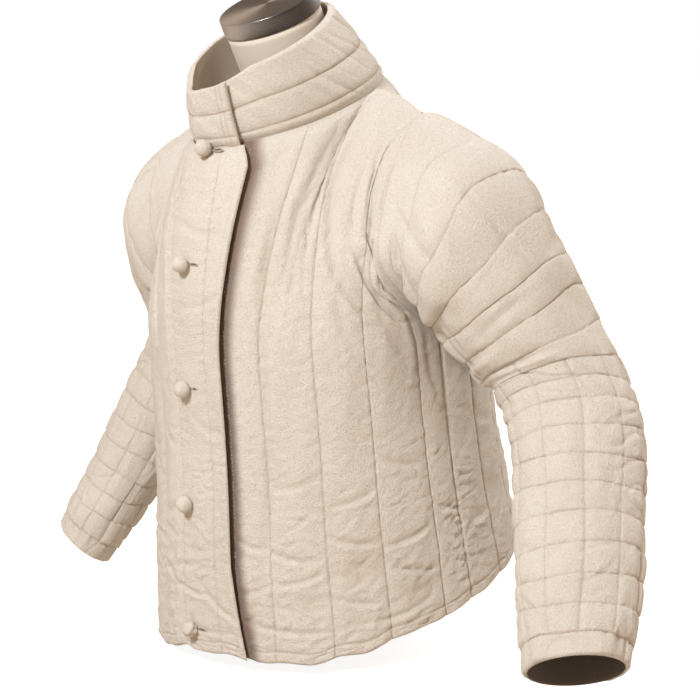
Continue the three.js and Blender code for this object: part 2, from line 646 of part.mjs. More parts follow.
// The sleeve lies flat against the body's side: a point too near the body moves straight out.
function clearOfBody(point, start) {
  const room = SLEEVE_REST * smooth(clamp01(point.distanceTo(start) / SLEEVE_REST_RUN));
  const value = (column) => along(BODY_SECTIONS, 'z', point.z, column) + (column === 'mid' ? 0 : room);
  const away = point.y - value('mid');
  const reach = Math.hypot(point.x / value('half'), away / value(away < 0 ? 'front' : 'back'));
  if (reach >= 1 || point.z > CHEST_LEVEL + 130) return point;
  const weight = smooth(clamp01((CHEST_LEVEL + 130 - point.z) / 80));
  const factor = 1 + (1 / reach - 1) * weight;
  return vec(point.x * factor, value('mid') + away * factor, point.z);
}

function sleeveNormal(sections, phi, at) {
  const step = 0.006;
  const around = sleeveSurface(sections, phi + 2, at).sub(sleeveSurface(sections, phi - 2, at));
  const down = sleeveSurface(sections, phi, Math.min(1, at + step))
    .sub(sleeveSurface(sections, phi, Math.max(0, at - step)));
  const own = around.cross(down).normalize();
  const distance = sleeveSurface(sections, phi, at).distanceTo(sleeveSurface(sections, phi, 0));
  return own.lerp(armholeAt(phi).normal, smooth(clamp01(1 - distance / SEAM_BLEND))).normalize();
}

const GRID_LINES = between(GRID_START, 1 - CUFF_HEM, GRID_ROWS);
const SLEEVE_LINES = [0, ...UPPER_LINES, ...GRID_LINES, 1];

// Height of the padding on a sleeve: bands above, boxes in the grid, flat at the cuff's hem.
function sleevePuff(phi, at) {
  let i = 0;
  while (i < SLEEVE_LINES.length - 2 && at >= SLEEVE_LINES[i + 1] - 1e-9) i += 1;
  const t = clamp01((at - SLEEVE_LINES[i]) / (SLEEVE_LINES[i + 1] - SLEEVE_LINES[i]));
  const band = Math.sin(Math.PI * t) ** 0.6;
  if (at >= 1 - CUFF_HEM) return 0.25 * band;
  if (at <= GRID_START) return band;
  const column = phi / (360 / RING_COLUMNS * LINE_COLUMNS);
  return 0.7 * band * Math.abs(Math.sin(Math.PI * column)) ** 0.6;
}

function sleeveFold(phi, at) {
  return SLEEVE_FOLDS.reduce((sum, fold) => {
    const turn = ((phi - fold.phi + 540) % 360) - 180;
    return sum + fold.depth * bump((at - fold.at) / fold.wide) * bump(turn / fold.round);
  }, 0);
}

function sleeve(sections, side) {
  const phis = between(0, 360, RING_COLUMNS).slice(0, -1);
  const innerShares = [0, SQUARE_SHARE, 0.07, 0.15, 0.23, 0.32, 0.4, 0.46, 0.5, 0.55, 0.63, 0.75, 0.88, 1];
  const outerShares = [0, SQUARE_SHARE, ...SLEEVE_LINES.slice(0, -1).flatMap((a, i) => {
    const b = SLEEVE_LINES[i + 1];
    return [a, (a + b) / 2];
  }).slice(1), 1];
  const inner = innerShares.map((at) => phis.map((phi) => sleeveSurface(sections, phi, at)
    .addScaledVector(sleeveNormal(sections, phi, at), sleeveFold(phi, at))));
  const outer = outerShares.map((at) => phis.map((phi) => {
    const base = sleeveSurface(sections, phi, at);
    const seamed = smooth(clamp01(base.distanceTo(sleeveSurface(sections, phi, 0)) / SEAM_BLEND));
    const thick = SEAM_WALL + (SLEEVE_WALL - SEAM_WALL) * seamed + SLEEVE_PUFF * sleevePuff(phi, at) * seamed;
    return base.addScaledVector(sleeveNormal(sections, phi, at), thick + sleeveFold(phi, at));
  }));
  const mirror = (grid) => grid.map((row) => row.map((p) => vec(side * p.x, p.y, p.z)));
  const turned = (grid) => (side < 0 ? mirror(grid).map((row) => row.reverse()) : mirror(grid));
  return wall(turned(inner), turned(outer), true);
}

// ---- collar ------------------------------------------------------------------------
function collarPoint(alpha, share) {
  const rim = ovalPoint(COLLAR_TOP, alpha);
  rim.z -= straight(COLLAR_DROOP, 'alpha', alpha, 'drop');
  const radial = vec(Math.sin(alpha * DEG), -Math.cos(alpha * DEG), 0);
  return ovalPoint(NECKLINE, alpha).lerp(rim, share)
    .addScaledVector(radial, COLLAR_BULGE * Math.sin(Math.PI * share));
}

// The collar's columns: those of the panels' neck edges, and even ones where its ends lap.
function collarAlphas() {
  const { frontNeck, backNeck } = columnAngles();
  const half = join(frontNeck, backNeck).map((theta) => straight(TOP_EDGE, 'theta', theta, 'at'));
  const other = half.map((alpha) => 360 - alpha).reverse();
  const under = between(COLLAR_UNDER, half[0], 3);
  const over = between(360 - half[0], COLLAR_OVER, 5);
  return join(under, half, other, over);
}

function collar() {
  const alphas = collarAlphas();
  const shares = between(0, 1, COLLAR_ROWS);
  const grid = (outside) => shares.map((share) => alphas.map((alpha) => {
    const base = collarPoint(alpha, share);
    const level = vec(Math.sin(alpha * DEG), -Math.cos(alpha * DEG), 0.1).normalize();
    const normal = necklineNormal(alpha).lerp(level, smooth(clamp01(share * 3))).normalize();
    const lift = straight(COLLAR_LIFT, 'alpha', alpha, 'lift');
    const puff = COLLAR_PUFF * Math.abs(Math.sin(2 * Math.PI * share)) ** 0.6;
    const thick = share === 0 ? SEAM_WALL : COLLAR_WALL + puff;
    if (share === 0) base.addScaledVector(NECKLINE_UP, SEAM_GAP);
    return base.addScaledVector(normal, lift + (outside ? thick : 0));
  }));
  return wall(grid(false), grid(true), false);
}

// ---- dress form ----------------------------------------------------------------------
function formRing(section, columns) {
  const tilt = section.tilt * DEG;
  return between(0, 360, columns).slice(0, -1).map((alpha) => {
    const s = Math.sin(alpha * DEG);
    const c = Math.cos(alpha * DEG);
    const run = (c > 0 ? section.front : section.back) * c;
    return vec(section.half * s, section.mid - run * Math.cos(tilt), section.z - run * Math.sin(tilt));
  });
}

function dressForm() {
  return loft(FORM_SECTIONS.map((section) => formRing(section, FORM_COLUMNS)));
}

function neckCap() {
  const seat = FORM_SECTIONS[FORM_SECTIONS.length - 1];
  const { radius, thick, bevel } = CAP;
  const profile = [
    { r: radius - bevel, up: 0 }, { r: radius, up: bevel },
    { r: radius, up: thick - bevel }, { r: radius - bevel, up: thick },
  ];
  const axis = vec(0, -Math.sin(CAP.tilt * DEG), Math.cos(CAP.tilt * DEG));
  const rings = profile.map(({ r, up }) => {
    const lift = axis.clone().multiplyScalar(SEAM_GAP + up);
    const section = { ...seat, half: r, front: r, back: r, tilt: CAP.tilt };
    return formRing(section, CAP.columns).map((p) => p.add(lift));
  });
  return loft(rings);
}

// ---- buttons -----------------------------------------------------------------------
// A cloth-covered ball with a small flat seat, standing on the flap's outer surface.
function button() {
  const low = Math.sqrt(BUTTON_RADIUS ** 2 - BUTTON_BASE ** 2);
  const first = Math.atan2(-low, BUTTON_BASE);
  const arc = between(first, Math.PI / 2, 7).map((t) => new THREE.Vector2(
    Math.max(0, BUTTON_RADIUS * Math.cos(t)), low + BUTTON_RADIUS * Math.sin(t)));
  arc[arc.length - 1].x = 0;
  return new THREE.LatheGeometry([new THREE.Vector2(0, 0), ...arc], 12);
}

function shareAtHeight(theta, z) {
  let low = 0;
  let high = 2;
  for (let i = 0; i < 40; i += 1) {
    const middle = (low + high) / 2;
    if (bodySurface(theta, middle).z < z) low = middle;
    else high = middle;
  }
  return (low + high) / 2;
}

function placeButton(mesh, theta, z) {
  const share = shareAtHeight(theta, z);
  const normal = panelNormal(theta, share);
  const lift = straight(FLAP_LIFT, 'theta', theta, 'lift') + PANEL_WALL + 2 * SEAM_GAP;
  mesh.position.copy(bodySurface(theta, share).addScaledVector(normal, lift));
  mesh.quaternion.setFromUnitVectors(vec(0, 1, 0), normal);
}

// ---- the whole --------------------------------------------------------------------------
function named(name, shape, material) {
  const mesh = new THREE.Mesh(shape, material);
  mesh.name = name;
  return mesh;
}

const jacket = new THREE.Group();
jacket.add(named('left_front', leftFront(), cotton));
jacket.add(named('right_front', rightFront(), cotton));
jacket.add(named('back', back(), cotton));
jacket.add(named('left_sleeve', sleeve(LEFT_SLEEVE, 1), cotton));
jacket.add(named('right_sleeve', sleeve(RIGHT_SLEEVE, -1), cotton));
jacket.add(named('collar', collar(), cotton));
BUTTONS.forEach(({ name, theta, z }) => {
  const mesh = named(name, button(), cotton);
  placeButton(mesh, theta, z);
  jacket.add(mesh);
});

const form = new THREE.Group();
form.add(named('dress_form', dressForm(), cover));
form.add(named('neck_cap', neckCap(), steel));

const part = new THREE.Group();
part.add(jacket, form);
part.position.z = HEM_HEIGHT;

export default part;
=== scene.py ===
"""Finished surfaces of a quilted fencing jacket on a dress form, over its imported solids.

Tables and formulas are in millimetres above the front hem; meshes are in metres in the row
frame. The wearer faces -Y and the wearer's left is +X. A body angle theta is 0 in front,
90 at the wearer's left side and 180 behind.
"""
import logging
import math
from dataclasses import dataclass, field
from enum import Enum
from typing import Optional, Sequence, Union

import bpy
import numpy as np
from mathutils import Matrix, Vector


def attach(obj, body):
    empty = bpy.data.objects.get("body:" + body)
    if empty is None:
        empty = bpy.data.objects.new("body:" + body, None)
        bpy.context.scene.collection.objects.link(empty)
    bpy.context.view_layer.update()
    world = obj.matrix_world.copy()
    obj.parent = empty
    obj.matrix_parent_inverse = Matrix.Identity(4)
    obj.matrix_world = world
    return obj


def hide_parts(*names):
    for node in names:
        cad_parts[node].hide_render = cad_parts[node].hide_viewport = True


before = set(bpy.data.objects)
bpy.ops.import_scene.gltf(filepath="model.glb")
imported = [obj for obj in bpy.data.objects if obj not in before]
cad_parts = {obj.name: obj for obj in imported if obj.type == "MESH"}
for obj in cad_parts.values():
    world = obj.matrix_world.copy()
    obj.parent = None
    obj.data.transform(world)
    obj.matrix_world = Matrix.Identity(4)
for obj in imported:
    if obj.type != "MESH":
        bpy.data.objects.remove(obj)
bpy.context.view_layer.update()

Array = np.ndarray
Number = Union[float, Array]
Colour = tuple[float, float, float]
LOG = logging.getLogger("jacket")

HEM_HEIGHT = 18.0        # front hem above the surface that the form stands on
CHEST_LEVEL = 330.0      # the panels turn to the shoulders here
SEAM_WALL = 3.0          # cloth at a seam
SEAM_BLEND = 26.0        # length over which a wall turns to its seam
PANEL_WALL = 4.0
PANEL_PUFF = 3.4         # wadding between lines
PUFF_FADE = 110.0        # it thins this far below the top edge
SQUARENESS = 0.032       # how much fuller than an oval the body is at its corners
SLEEVE_WALL = 4.0
SLEEVE_PUFF = 3.6
SLEEVE_REST = 22.0       # room between a sleeve's inside and the body's
SLEEVE_REST_RUN = 24.0   # the room opens over this length from the armhole
SHOULDER_ARCH = 6.0      # rise of the shoulder seam's middle
COLLAR_WALL = 5.0
MILLIMETRE = 0.001       # in metres
GIRTH = 3.3              # cloth to a degree round the body
HEM_STITCH = 13.0        # stitched line above the hem's edge
FLAT_HALF = 12.0         # degrees of thin wadding either side of the middle
FOLD_BOW = 0.06          # how far a fold bows, as a share of its length
LIP_AT = 1.7             # a fold's lip from its middle, in widths
PUCKER_FADE = 9.0        # how far puckers reach from a line
JOIN_DIP = 1.7           # how far cloth draws in where a side is sewn
TOP_DIP = 0.45           # and where its top edge is


# ---- small maths ---------------------------------------------------------------------
def smooth(t: Number) -> Array:
    """3t^2 - 2t^3 of t held between 0 and 1."""
    t = np.clip(t, 0.0, 1.0)
    return t * t * (3 - 2 * t)


def bump(x: Number) -> Array:
    """exp(-x^2)."""
    return np.exp(-np.square(x))


def unit(v: Array) -> Array:
    """Each vector over its own length."""
    return v / np.maximum(np.linalg.norm(v, axis=-1, keepdims=True), 1e-9)


def vector(x: Number, y: Number, z: Number) -> Array:
    """Vectors whose parts are the given numbers or arrays."""
    return np.stack(np.broadcast_arrays(x, y, z), axis=-1).astype(float)


def length(v: Array) -> Array:
    """Length of each vector."""
    return np.linalg.norm(v, axis=-1)


def running(points: Array) -> Array:
    """Running length through the points along their first axis, from 0."""
    steps = length(np.diff(points, axis=0))
    return np.concatenate([np.zeros_like(steps[:1]), np.cumsum(steps, axis=0)])


def nearest(places: Array, place: float) -> int:
    """Number of the one of the places that lies nearest."""
    return int(np.argmin(np.abs(places - place)))


def halves(theta: Array) -> tuple[Array, Array]:
    """A body angle's size from the front, 0 to 180, and its side: 1 left, -1 right."""
    turn = np.mod(theta + 180, 360) - 180
    return np.abs(turn), np.where(turn < 0, -1.0, 1.0)


def in_frame(points: Array) -> Array:
    """Metres above the floor, of millimetres above the hem."""
    return (points + (0, 0, HEM_HEIGHT)) * MILLIMETRE


def hermite(a: Array, b: Array, slope_a: Array, slope_b: Array, t: Array) -> Array:
    """Cubic from a to b with the given end slopes, at t from 0 to 1.

    Args:
        a: Value at 0.
        b: Value at 1.
        slope_a: Slope at 0.
        slope_b: Slope at 1.
        t: Places.

    Returns:
        Values at t.
    """
    t2, t3 = t * t, t * t * t
    return ((2 * t3 - 3 * t2 + 1) * a + (t3 - 2 * t2 + t) * slope_a
            + (3 * t2 - 2 * t3) * b + (t3 - t2) * slope_b)


def span_parts(knots: Array, x: Array) -> tuple[tuple[Array, ...], tuple[Array, ...]]:
    """Where places lie in a table.

    Args:
        knots: Rising places of the rows.
        x: Places to read.

    Returns:
        Numbers of the rows before, at both ends of and after each place's span; and its
        share of the span, with the shares that turn differences of rows into slopes.
    """
    a = np.searchsorted(knots[1:-1], x, side="left")
    b, before, after = a + 1, np.maximum(a - 1, 0), np.minimum(a + 2, len(knots) - 1)
    span = knots[b] - knots[a]
    return (before, a, b, after), (np.clip((x - knots[a]) / span, 0, 1),
                                   span / (knots[b] - knots[before]),
                                   span / (knots[after] - knots[a]))


def through(rows: Sequence[Array], shares: Sequence[Array]) -> Array:
    """A cubic from the second of four rows to the third, with central-difference slopes."""
    (before, a, b, after), (t, share_a, share_b) = rows, shares
    return hermite(a, b, share_a * (b - before), share_b * (after - a), t)


def spline(knots: Array, values: Array, x: Number) -> Array:
    """Smooth curve through a table.

    Args:
        knots: Rising places of the rows.
        values: One row of values for each knot, with any further axes.
        x: Places to read, shared by the further axes.

    Returns:
        Values at x, in the shape of x followed by the further axes.
    """
    numbers, shares = span_parts(knots, np.asarray(x, float))
    more = (...,) + (None,) * (values.ndim - 1)
    return through([values[k] for k in numbers], [share[more] for share in shares])


def crease(n: Array) -> Array:
    """A fine trough where n passes 0, with a soft lip on one side of it."""
    return 0.45 * bump((n - 0.42) / 0.3) - bump(n / 0.15)


class Ripples:
    """Uneven waves: a sum of sines in random directions, the same in each run."""

    def __init__(self, seed: int, low: float, high: float, stretch: float = 1.0, count: int = 9):
        """Draws the waves.

        Args:
            seed: Seed of the draw.
            low: Shortest wave.
            high: Longest wave.
            stretch: How many times longer the waves are along v than along u.
            count: Number of waves.
        """
        draw = np.random.default_rng(seed)
        waves = np.exp(draw.uniform(math.log(low), math.log(high), count))
        turns = draw.uniform(0, 2 * math.pi, count)
        self.ku = 2 * math.pi * np.cos(turns) / waves
        self.kv = 2 * math.pi * np.sin(turns) / waves / stretch
        self.phase = draw.uniform(0, 2 * math.pi, count)

    def __call__(self, u: Array, v: Array) -> Array:
        """Sum of sin(ku u + kv v + phase), scaled to about -1 to 1."""
        total = np.zeros(np.broadcast(u, v).shape)
        for ku, kv, phase in zip(self.ku, self.kv, self.phase):
            total += np.sin(ku * u + kv * v + phase)
        return total / math.sqrt(2 * len(self.ku))


def spaced(low: float, high: float, count: int, lines: Sequence[float] = (), near: float = 1.0,
           boost: float = 2.0, ends: float = 0.0) -> Array:
    """Rising places that crowd at the lines, with one exactly on each line.

    The density is 1 + boost exp(-((x - line) / near)^2) summed over the lines, plus ends
    at both ends, and the places divide its running sum evenly.

    Args:
        low: First place.
        high: Last place.
        count: Number of steps.
        lines: Places of the lines.
        near: Width of the crowding.
        boost: Strength of the crowding at a line.
        ends: Strength of the crowding at the two ends.

    Returns:
        count + 1 places.
    """
    x = np.linspace(low, high, 6001)
    density = np.ones_like(x) + ends * (bump((x - low) / near / 2) + bump((x - high) / near / 2))
    for line in lines:
        density += boost * bump((x - line) / near)
    total = np.concatenate([[0], np.cumsum((density[1:] + density[:-1]) / 2)])
    places = np.interp(np.linspace(0, total[-1], count + 1), total, x)
    for line in lines:
        if low < line < high:
            places[np.argmin(np.abs(places - line))] = line
    return np.sort(places)


# ---- edges that pieces share -------------------------------------------------------------
@dataclass(frozen=True)
class Oval:
    """A tilted oval round the neck, low in front."""
    mid: float
    z: float
    half: float
    depth: float
    drop: float

    def point(self, alpha: Array) -> Array:
        """(half sin, mid - depth cos, z - drop cos) of alpha, in degrees."""
        s, c = np.sin(np.radians(alpha)), np.cos(np.radians(alpha))
        return vector(self.half * s, self.mid - self.depth * c, self.z - self.drop * c)


NECKLINE = Oval(mid=-14, z=583, half=88, depth=117, drop=27)
COLLAR_TOP = Oval(mid=-53, z=665, half=73, depth=82, drop=34)
NECK_TILT, NECK_FLAT, NECK_CORNER = 0.8, 64.0, 118.0
NECKLINE_UP = unit(np.array([0.0, -NECKLINE.drop, NECKLINE.depth]))
SHOULDER_TIP = np.array([165.0, 24.0, 569.0])

BODY_SECTIONS = np.array([   # z, half width, depth in front, depth behind
    [-20, 206, 203, 206], [0, 205, 202, 205], [60, 201, 197, 200], [120, 196, 191, 187],
    [190, 190, 184, 178], [260, 187, 180, 173], [330, 187, 178, 176], [400, 187, 175, 175.0]])
BODY_MID = -4.0
HEM_LINE = np.array([        # theta, z
    [0, 2], [14, 1], [24, -5], [42, 1], [60, 14], [80, 28], [100, 44], [116, 60], [140, 80],
    [180, 88.0]])
ARMHOLE = np.array([         # phi, point, outward direction
    [-45, 165, 80, 545, .3, .7, .6], [0, 165, 24, 569, .3, 0, .95], [45, 173, -22, 538, .35, -.68, .62],
    [90, 175, -54, 484, .3, -.95, 0], [135, 181, -72, 420, .45, -.75, -.4],
    [180, 188, -5, 362, .6, 0, -.8], [225, 169, 80, 412, .45, .75, -.5],
    [270, 168, 112, 482, .25, .97, 0], [315, 165, 80, 545, .3, .7, .6],
    [360, 165, 24, 569, .3, 0, .95], [405, 173, -22, 538, .35, -.68, .62]])
TOP_EDGE = np.array([        # theta, place on the neckline or armhole, way of the cloth there
    [0, 0, 0, .5, .86], [12, 30, -.12, .52, .84], [25, 64, -.25, .62, .75],
    [40, NECK_CORNER, -.1, .9, .4], [58, 0, .3, .8, .5], [66, 72, .55, .4, .75],
    [78, 144, .35, 0, .94], [90, 180, 0, 0, 1], [104, 210, .3, 0, .95], [120, 276, .5, -.2, .84],
    [134, 360, .3, -.7, .65], [152, NECK_CORNER, -.1, -.8, .55], [180, 180, 0, -.5, .86]])
FRONT_NECK, FRONT_TIP, BACK_TIP, BACK_NECK = 40.0, 58.0, 134.0, 152.0


def neckline_normal(alpha: Array) -> Array:
    """Outward at the neckline: in its plane in front, tilted up at the shoulders and behind.

    Args:
        alpha: Angles round the neck.

    Returns:
        Unit vectors.
    """
    alpha = np.asarray(alpha, float)
    s, c = np.sin(np.radians(alpha)), np.cos(np.radians(alpha))
    forward = unit(np.array([0.0, -NECKLINE.depth, -NECKLINE.drop]))
    from_front = np.degrees(np.arccos(np.clip(c, -1, 1)))
    tilt = NECK_TILT * smooth((from_front - NECK_FLAT) / (NECK_CORNER - NECK_FLAT))
    return unit(vector(s, 0, 0) + c[..., None] * forward + tilt[..., None] * NECKLINE_UP)


def armhole(phi: Array) -> tuple[Array, Array]:
    """Point and outward direction of the left armhole at phi, from the shoulder round the front."""
    row = spline(ARMHOLE[:, 0], ARMHOLE[:, 1:], np.mod(phi, 360.0))
    return row[..., :3], unit(row[..., 3:])


def armhole_way(phi: Array) -> Array:
    """The way off the armhole: square to its run and to its outward direction."""
    run = armhole(np.asarray(phi) + 2)[0] - armhole(np.asarray(phi) - 2)[0]
    way = unit(np.cross(run, armhole(phi)[1]))
    return np.where(way[..., :1] < 0, -way, way)


def shoulder(share: Array) -> tuple[Array, Array]:
    """Point and outward direction of the left shoulder seam, share 0 at the neck.

    Args:
        share: Shares of the seam's length.

    Returns:
        Points, and unit vectors.
    """
    neck = NECKLINE.point(np.array(NECK_CORNER))
    share = np.clip(share, 0, 1)
    point = neck + share[..., None] * (SHOULDER_TIP - neck)
    point[..., 2] += SHOULDER_ARCH * np.sin(math.pi * share)
    start, end = neckline_normal(np.array(NECK_CORNER)), armhole(np.array(0.0))[1]
    weight = np.clip(3 * share, 0, 1)[..., None]
    return point, unit(start + (end - start) * weight)


def top_edge(theta: Array) -> tuple[Array, Array, Array]:
    """Point, outward direction and way of the cloth at the top edge of the left half.

    Args:
        theta: Body angles, 0 to 180.

    Returns:
        Points, and two fields of unit vectors.
    """
    table = TOP_EDGE[:, 0]
    at = np.interp(theta, table, TOP_EDGE[:, 1])
    tangent = unit(np.stack([np.interp(theta, table, TOP_EDGE[:, k]) for k in (2, 3, 4)], axis=-1))
    front = (theta > FRONT_NECK) & (theta < FRONT_TIP)
    back = (theta > BACK_TIP) & (theta < BACK_NECK)
    neck = (theta <= FRONT_NECK) | (theta >= BACK_NECK)
    share = np.where(front, (theta - FRONT_NECK) / (FRONT_TIP - FRONT_NECK),
                     (BACK_NECK - theta) / (BACK_NECK - BACK_TIP))
    on_shoulder, at_shoulder = shoulder(share)
    on_hole, at_hole = armhole(at)

    def own(by_neck: Array, by_shoulder: Array, by_hole: Array) -> Array:
        """Each column's value at the edge that it ends on."""
        return np.where(neck[..., None], by_neck,
                        np.where((front | back)[..., None], by_shoulder, by_hole))

    return (own(NECKLINE.point(at), on_shoulder, on_hole),
            own(neckline_normal(at), at_shoulder, at_hole), tangent)


def low_point(theta: Array, z: Array) -> Array:
    """Body oval at a height: half widths by sin and cos, fuller by sin^2 of twice the angle.

    Args:
        theta: Body angles.
        z: Heights.

    Returns:
        Points.
    """
    s, c = np.sin(np.radians(theta)), np.cos(np.radians(theta))
    full = 1 + SQUARENESS * np.sin(2 * np.radians(theta)) ** 2
    row = spline(BODY_SECTIONS[:, 0], BODY_SECTIONS[:, 1:], z)
    depth = np.where(c > 0, row[..., 1], row[..., 2])
    return vector(row[..., 0] * s * full, BODY_MID - depth * c * full, z)


def body_surface(theta: Array, share: Array) -> Array:
    """Inner surface of the body's cloth.

    Args:
        theta: Body angles.
        share: 0 to 1 from the hem to chest level along the body's ovals, and 1 to 2 from
            there to the top edge along cubics whose end slopes are as long as their chord.

    Returns:
        Points.
    """
    theta, share = np.broadcast_arrays(np.asarray(theta, float), np.asarray(share, float))
    angle, side = halves(theta)
    hem = spline(HEM_LINE[:, 0], HEM_LINE[:, 1], angle)
    low = low_point(angle, hem + (CHEST_LEVEL - hem) * np.clip(share, 0, 1))
    chest = low_point(angle, np.full_like(angle, CHEST_LEVEL))
    top, _, tangent = top_edge(angle)
    reach = length(top - chest)[..., None]
    start = unit(low_point(angle, np.full_like(angle, CHEST_LEVEL + 10)) - chest) * reach
    high = hermite(chest, top, start, tangent * reach, np.clip(share - 1, 0, 1)[..., None])
    point = np.where((share <= 1)[..., None], low, high)
    point[..., 0] *= side
    return point


def soft_body(theta: Array, share: Array) -> Array:
    """The body's surface with the corners of its top edge faded out below that edge.

    A weighted mean of seven points up to 5 degrees to each side, closing to the point
    itself at the top edge.

    Args:
        theta: Body angles.
        share: Shares up the body, 0 to 2.

    Returns:
        Points.
    """
    total, weight = 0.0, 0.0
    spread = 1.7 * smooth((2 - share) / 0.3) * smooth((share - 0.6) / 0.4)
    for step in range(-3, 4):
        part = math.exp(-step * step / 4.5)
        total = total + part * body_surface(theta + step * spread, share)
        weight += part
    return total / weight


# ---- meshes ------------------------------------------------------------------------------
@dataclass(frozen=True)
class Path:
    """A stitched line: points on the cloth and its outward direction at each."""
    points: Array
    normals: Array


@dataclass(frozen=True)
class Wall:
    """The two faces of a piece of cloth, with its measures for the finish and its lines."""
    outer: Array             # rows, columns, 3, in millimetres above the hem
    inner: Array             # every step-th row and column of the inner face
    marks: dict[str, Array]  # rows, columns
    paths: list[Path]
    ring: bool = False       # whether the columns close on themselves


def flat_lengths(points: Array, ring: bool) -> Array:
    """Lengths along the middle row, and up the rows by their mean steps.

    Args:
        points: Grid of points.
        ring: Whether its columns close.

    Returns:
        Rows, columns (with the closing one on a ring), 2.
    """
    closed = np.concatenate([points, points[:, :1]], axis=1) if ring else points
    middle = closed[len(closed) // 2]
    u = running(middle)
    steps = length(np.diff(closed, axis=0)).mean(axis=1)
    v = np.concatenate([[0], np.cumsum(steps)])
    return np.stack(np.meshgrid(u, v), axis=-1)


def grid_quads(rows: int, columns: int) -> tuple[Array, Array]:
    """Row and column numbers of the four corners of each cell, in two arrays of cells by 4.

    Args:
        rows: Cells up.
        columns: Cells along.

    Returns:
        Rows, and columns, cells by 4.
    """
    i, j = np.meshgrid(np.arange(rows), np.arange(columns), indexing="ij")
    r = np.stack([i, i, i + 1, i + 1], axis=-1).reshape(-1, 4)
    c = np.stack([j, j + 1, j + 1, j], axis=-1).reshape(-1, 4)
    return r, c


def build_mesh(name: str, points: Array, faces: Sequence[Array],
               flat: Optional[Sequence[Array]] = None,
               marks: Optional[dict[str, Array]] = None) -> bpy.types.Object:
    """A mesh object from arrays, smooth-shaded and placed by its points alone.

    Args:
        name: Name of the piece.
        points: Points in metres.
        faces: Arrays of corner numbers, one for each number of corners.
        flat: Flat coordinates of every corner, array by array as the faces.
        marks: Point attributes by name.

    Returns:
        The new object, linked into the scene.
    """
    mesh = bpy.data.meshes.new(name)
    mesh.vertices.add(len(points))
    mesh.vertices.foreach_set("co", np.ascontiguousarray(points, np.float32).ravel())
    corners = np.concatenate([f.ravel() for f in faces]).astype(np.int32)
    sizes = np.concatenate([np.full(len(f), f.shape[1]) for f in faces])
    starts = np.concatenate([[0], np.cumsum(sizes)[:-1]]).astype(np.int32)
    mesh.loops.add(len(corners))
    mesh.loops.foreach_set("vertex_index", corners)
    mesh.polygons.add(len(starts))
    mesh.polygons.foreach_set("loop_start", starts)
    mesh.polygons.foreach_set("use_smooth", np.ones(len(starts), bool))
    mesh.update(calc_edges=True)
    if flat is not None:
        layer = mesh.uv_layers.new(name="flat")
        uv = np.concatenate([f.reshape(-1, 2) for f in flat])
        layer.data.foreach_set("uv", np.ascontiguousarray(uv, np.float32).ravel())
    for key, values in (marks or {}).items():
        attribute = mesh.attributes.new(key, "FLOAT", "POINT")
        attribute.data.foreach_set("value", np.ascontiguousarray(values, np.float32).ravel())
    mesh.validate()
    piece = bpy.data.objects.new(name, mesh)
    bpy.context.scene.collection.objects.link(piece)
    return piece


def fan_rim(fine: int, step: int) -> tuple[Array, Array]:
    """Triangles that close a fine edge to a coarse one, as numbers along the two edges.

    Each coarse span covers step fine spans: its first half fans from the near coarse point,
    then one triangle crosses, and the rest fans from the far coarse point.

    Args:
        fine: Number of fine spans.
        step: Fine spans in a coarse one.

    Returns:
        Which edge each corner is on (0 fine, 1 coarse), and its number along that edge.
    """
    half = step // 2
    k = np.arange(fine)
    near = k // step + (k % step >= half)
    fans = np.stack([k, k + 1, near], axis=-1)
    m = np.arange(fine // step)
    cross = np.stack([m * step + half, m + 1, m], axis=-1)
    edge = np.concatenate([np.tile([0, 0, 1], (len(fans), 1)), np.tile([0, 1, 1], (len(cross), 1))])
    return edge, np.concatenate([fans, cross])


@dataclass(frozen=True)
class Lattice:
    """Point numbers and flat places of one face of a wall."""
    first: int
    flat: Array              # rows, columns (with the closing one on a ring), 2
    ring: bool

    @property
    def size(self) -> tuple[int, int]:
        """Cells up and cells along."""
        return self.flat.shape[0] - 1, self.flat.shape[1] - 1

    def corners(self, r: Array, c: Array) -> tuple[Array, Array]:
        """Numbers and flat places of the points at rows r and columns c, held to the grid."""
        rows, columns = self.size
        r, c = np.minimum(r, rows), np.minimum(c, columns)
        width = columns if self.ring else columns + 1
        return self.first + r * width + c % width, self.flat[r, c]

    def cells(self, turned: bool) -> tuple[Array, Array]:
        """The corners of every cell, in the other order if turned."""
        return self.corners(*(part[:, ::-1] if turned else part for part in grid_quads(*self.size)))

    def rim(self, number: Array, up: bool, far: bool) -> tuple[Array, Array]:
        """The corners at numbers up the rows, or else along the columns, on a near or far side."""
        fixed = np.full_like(number, self.size[up] if far else 0)
        return self.corners(number, fixed) if up else self.corners(fixed, number)


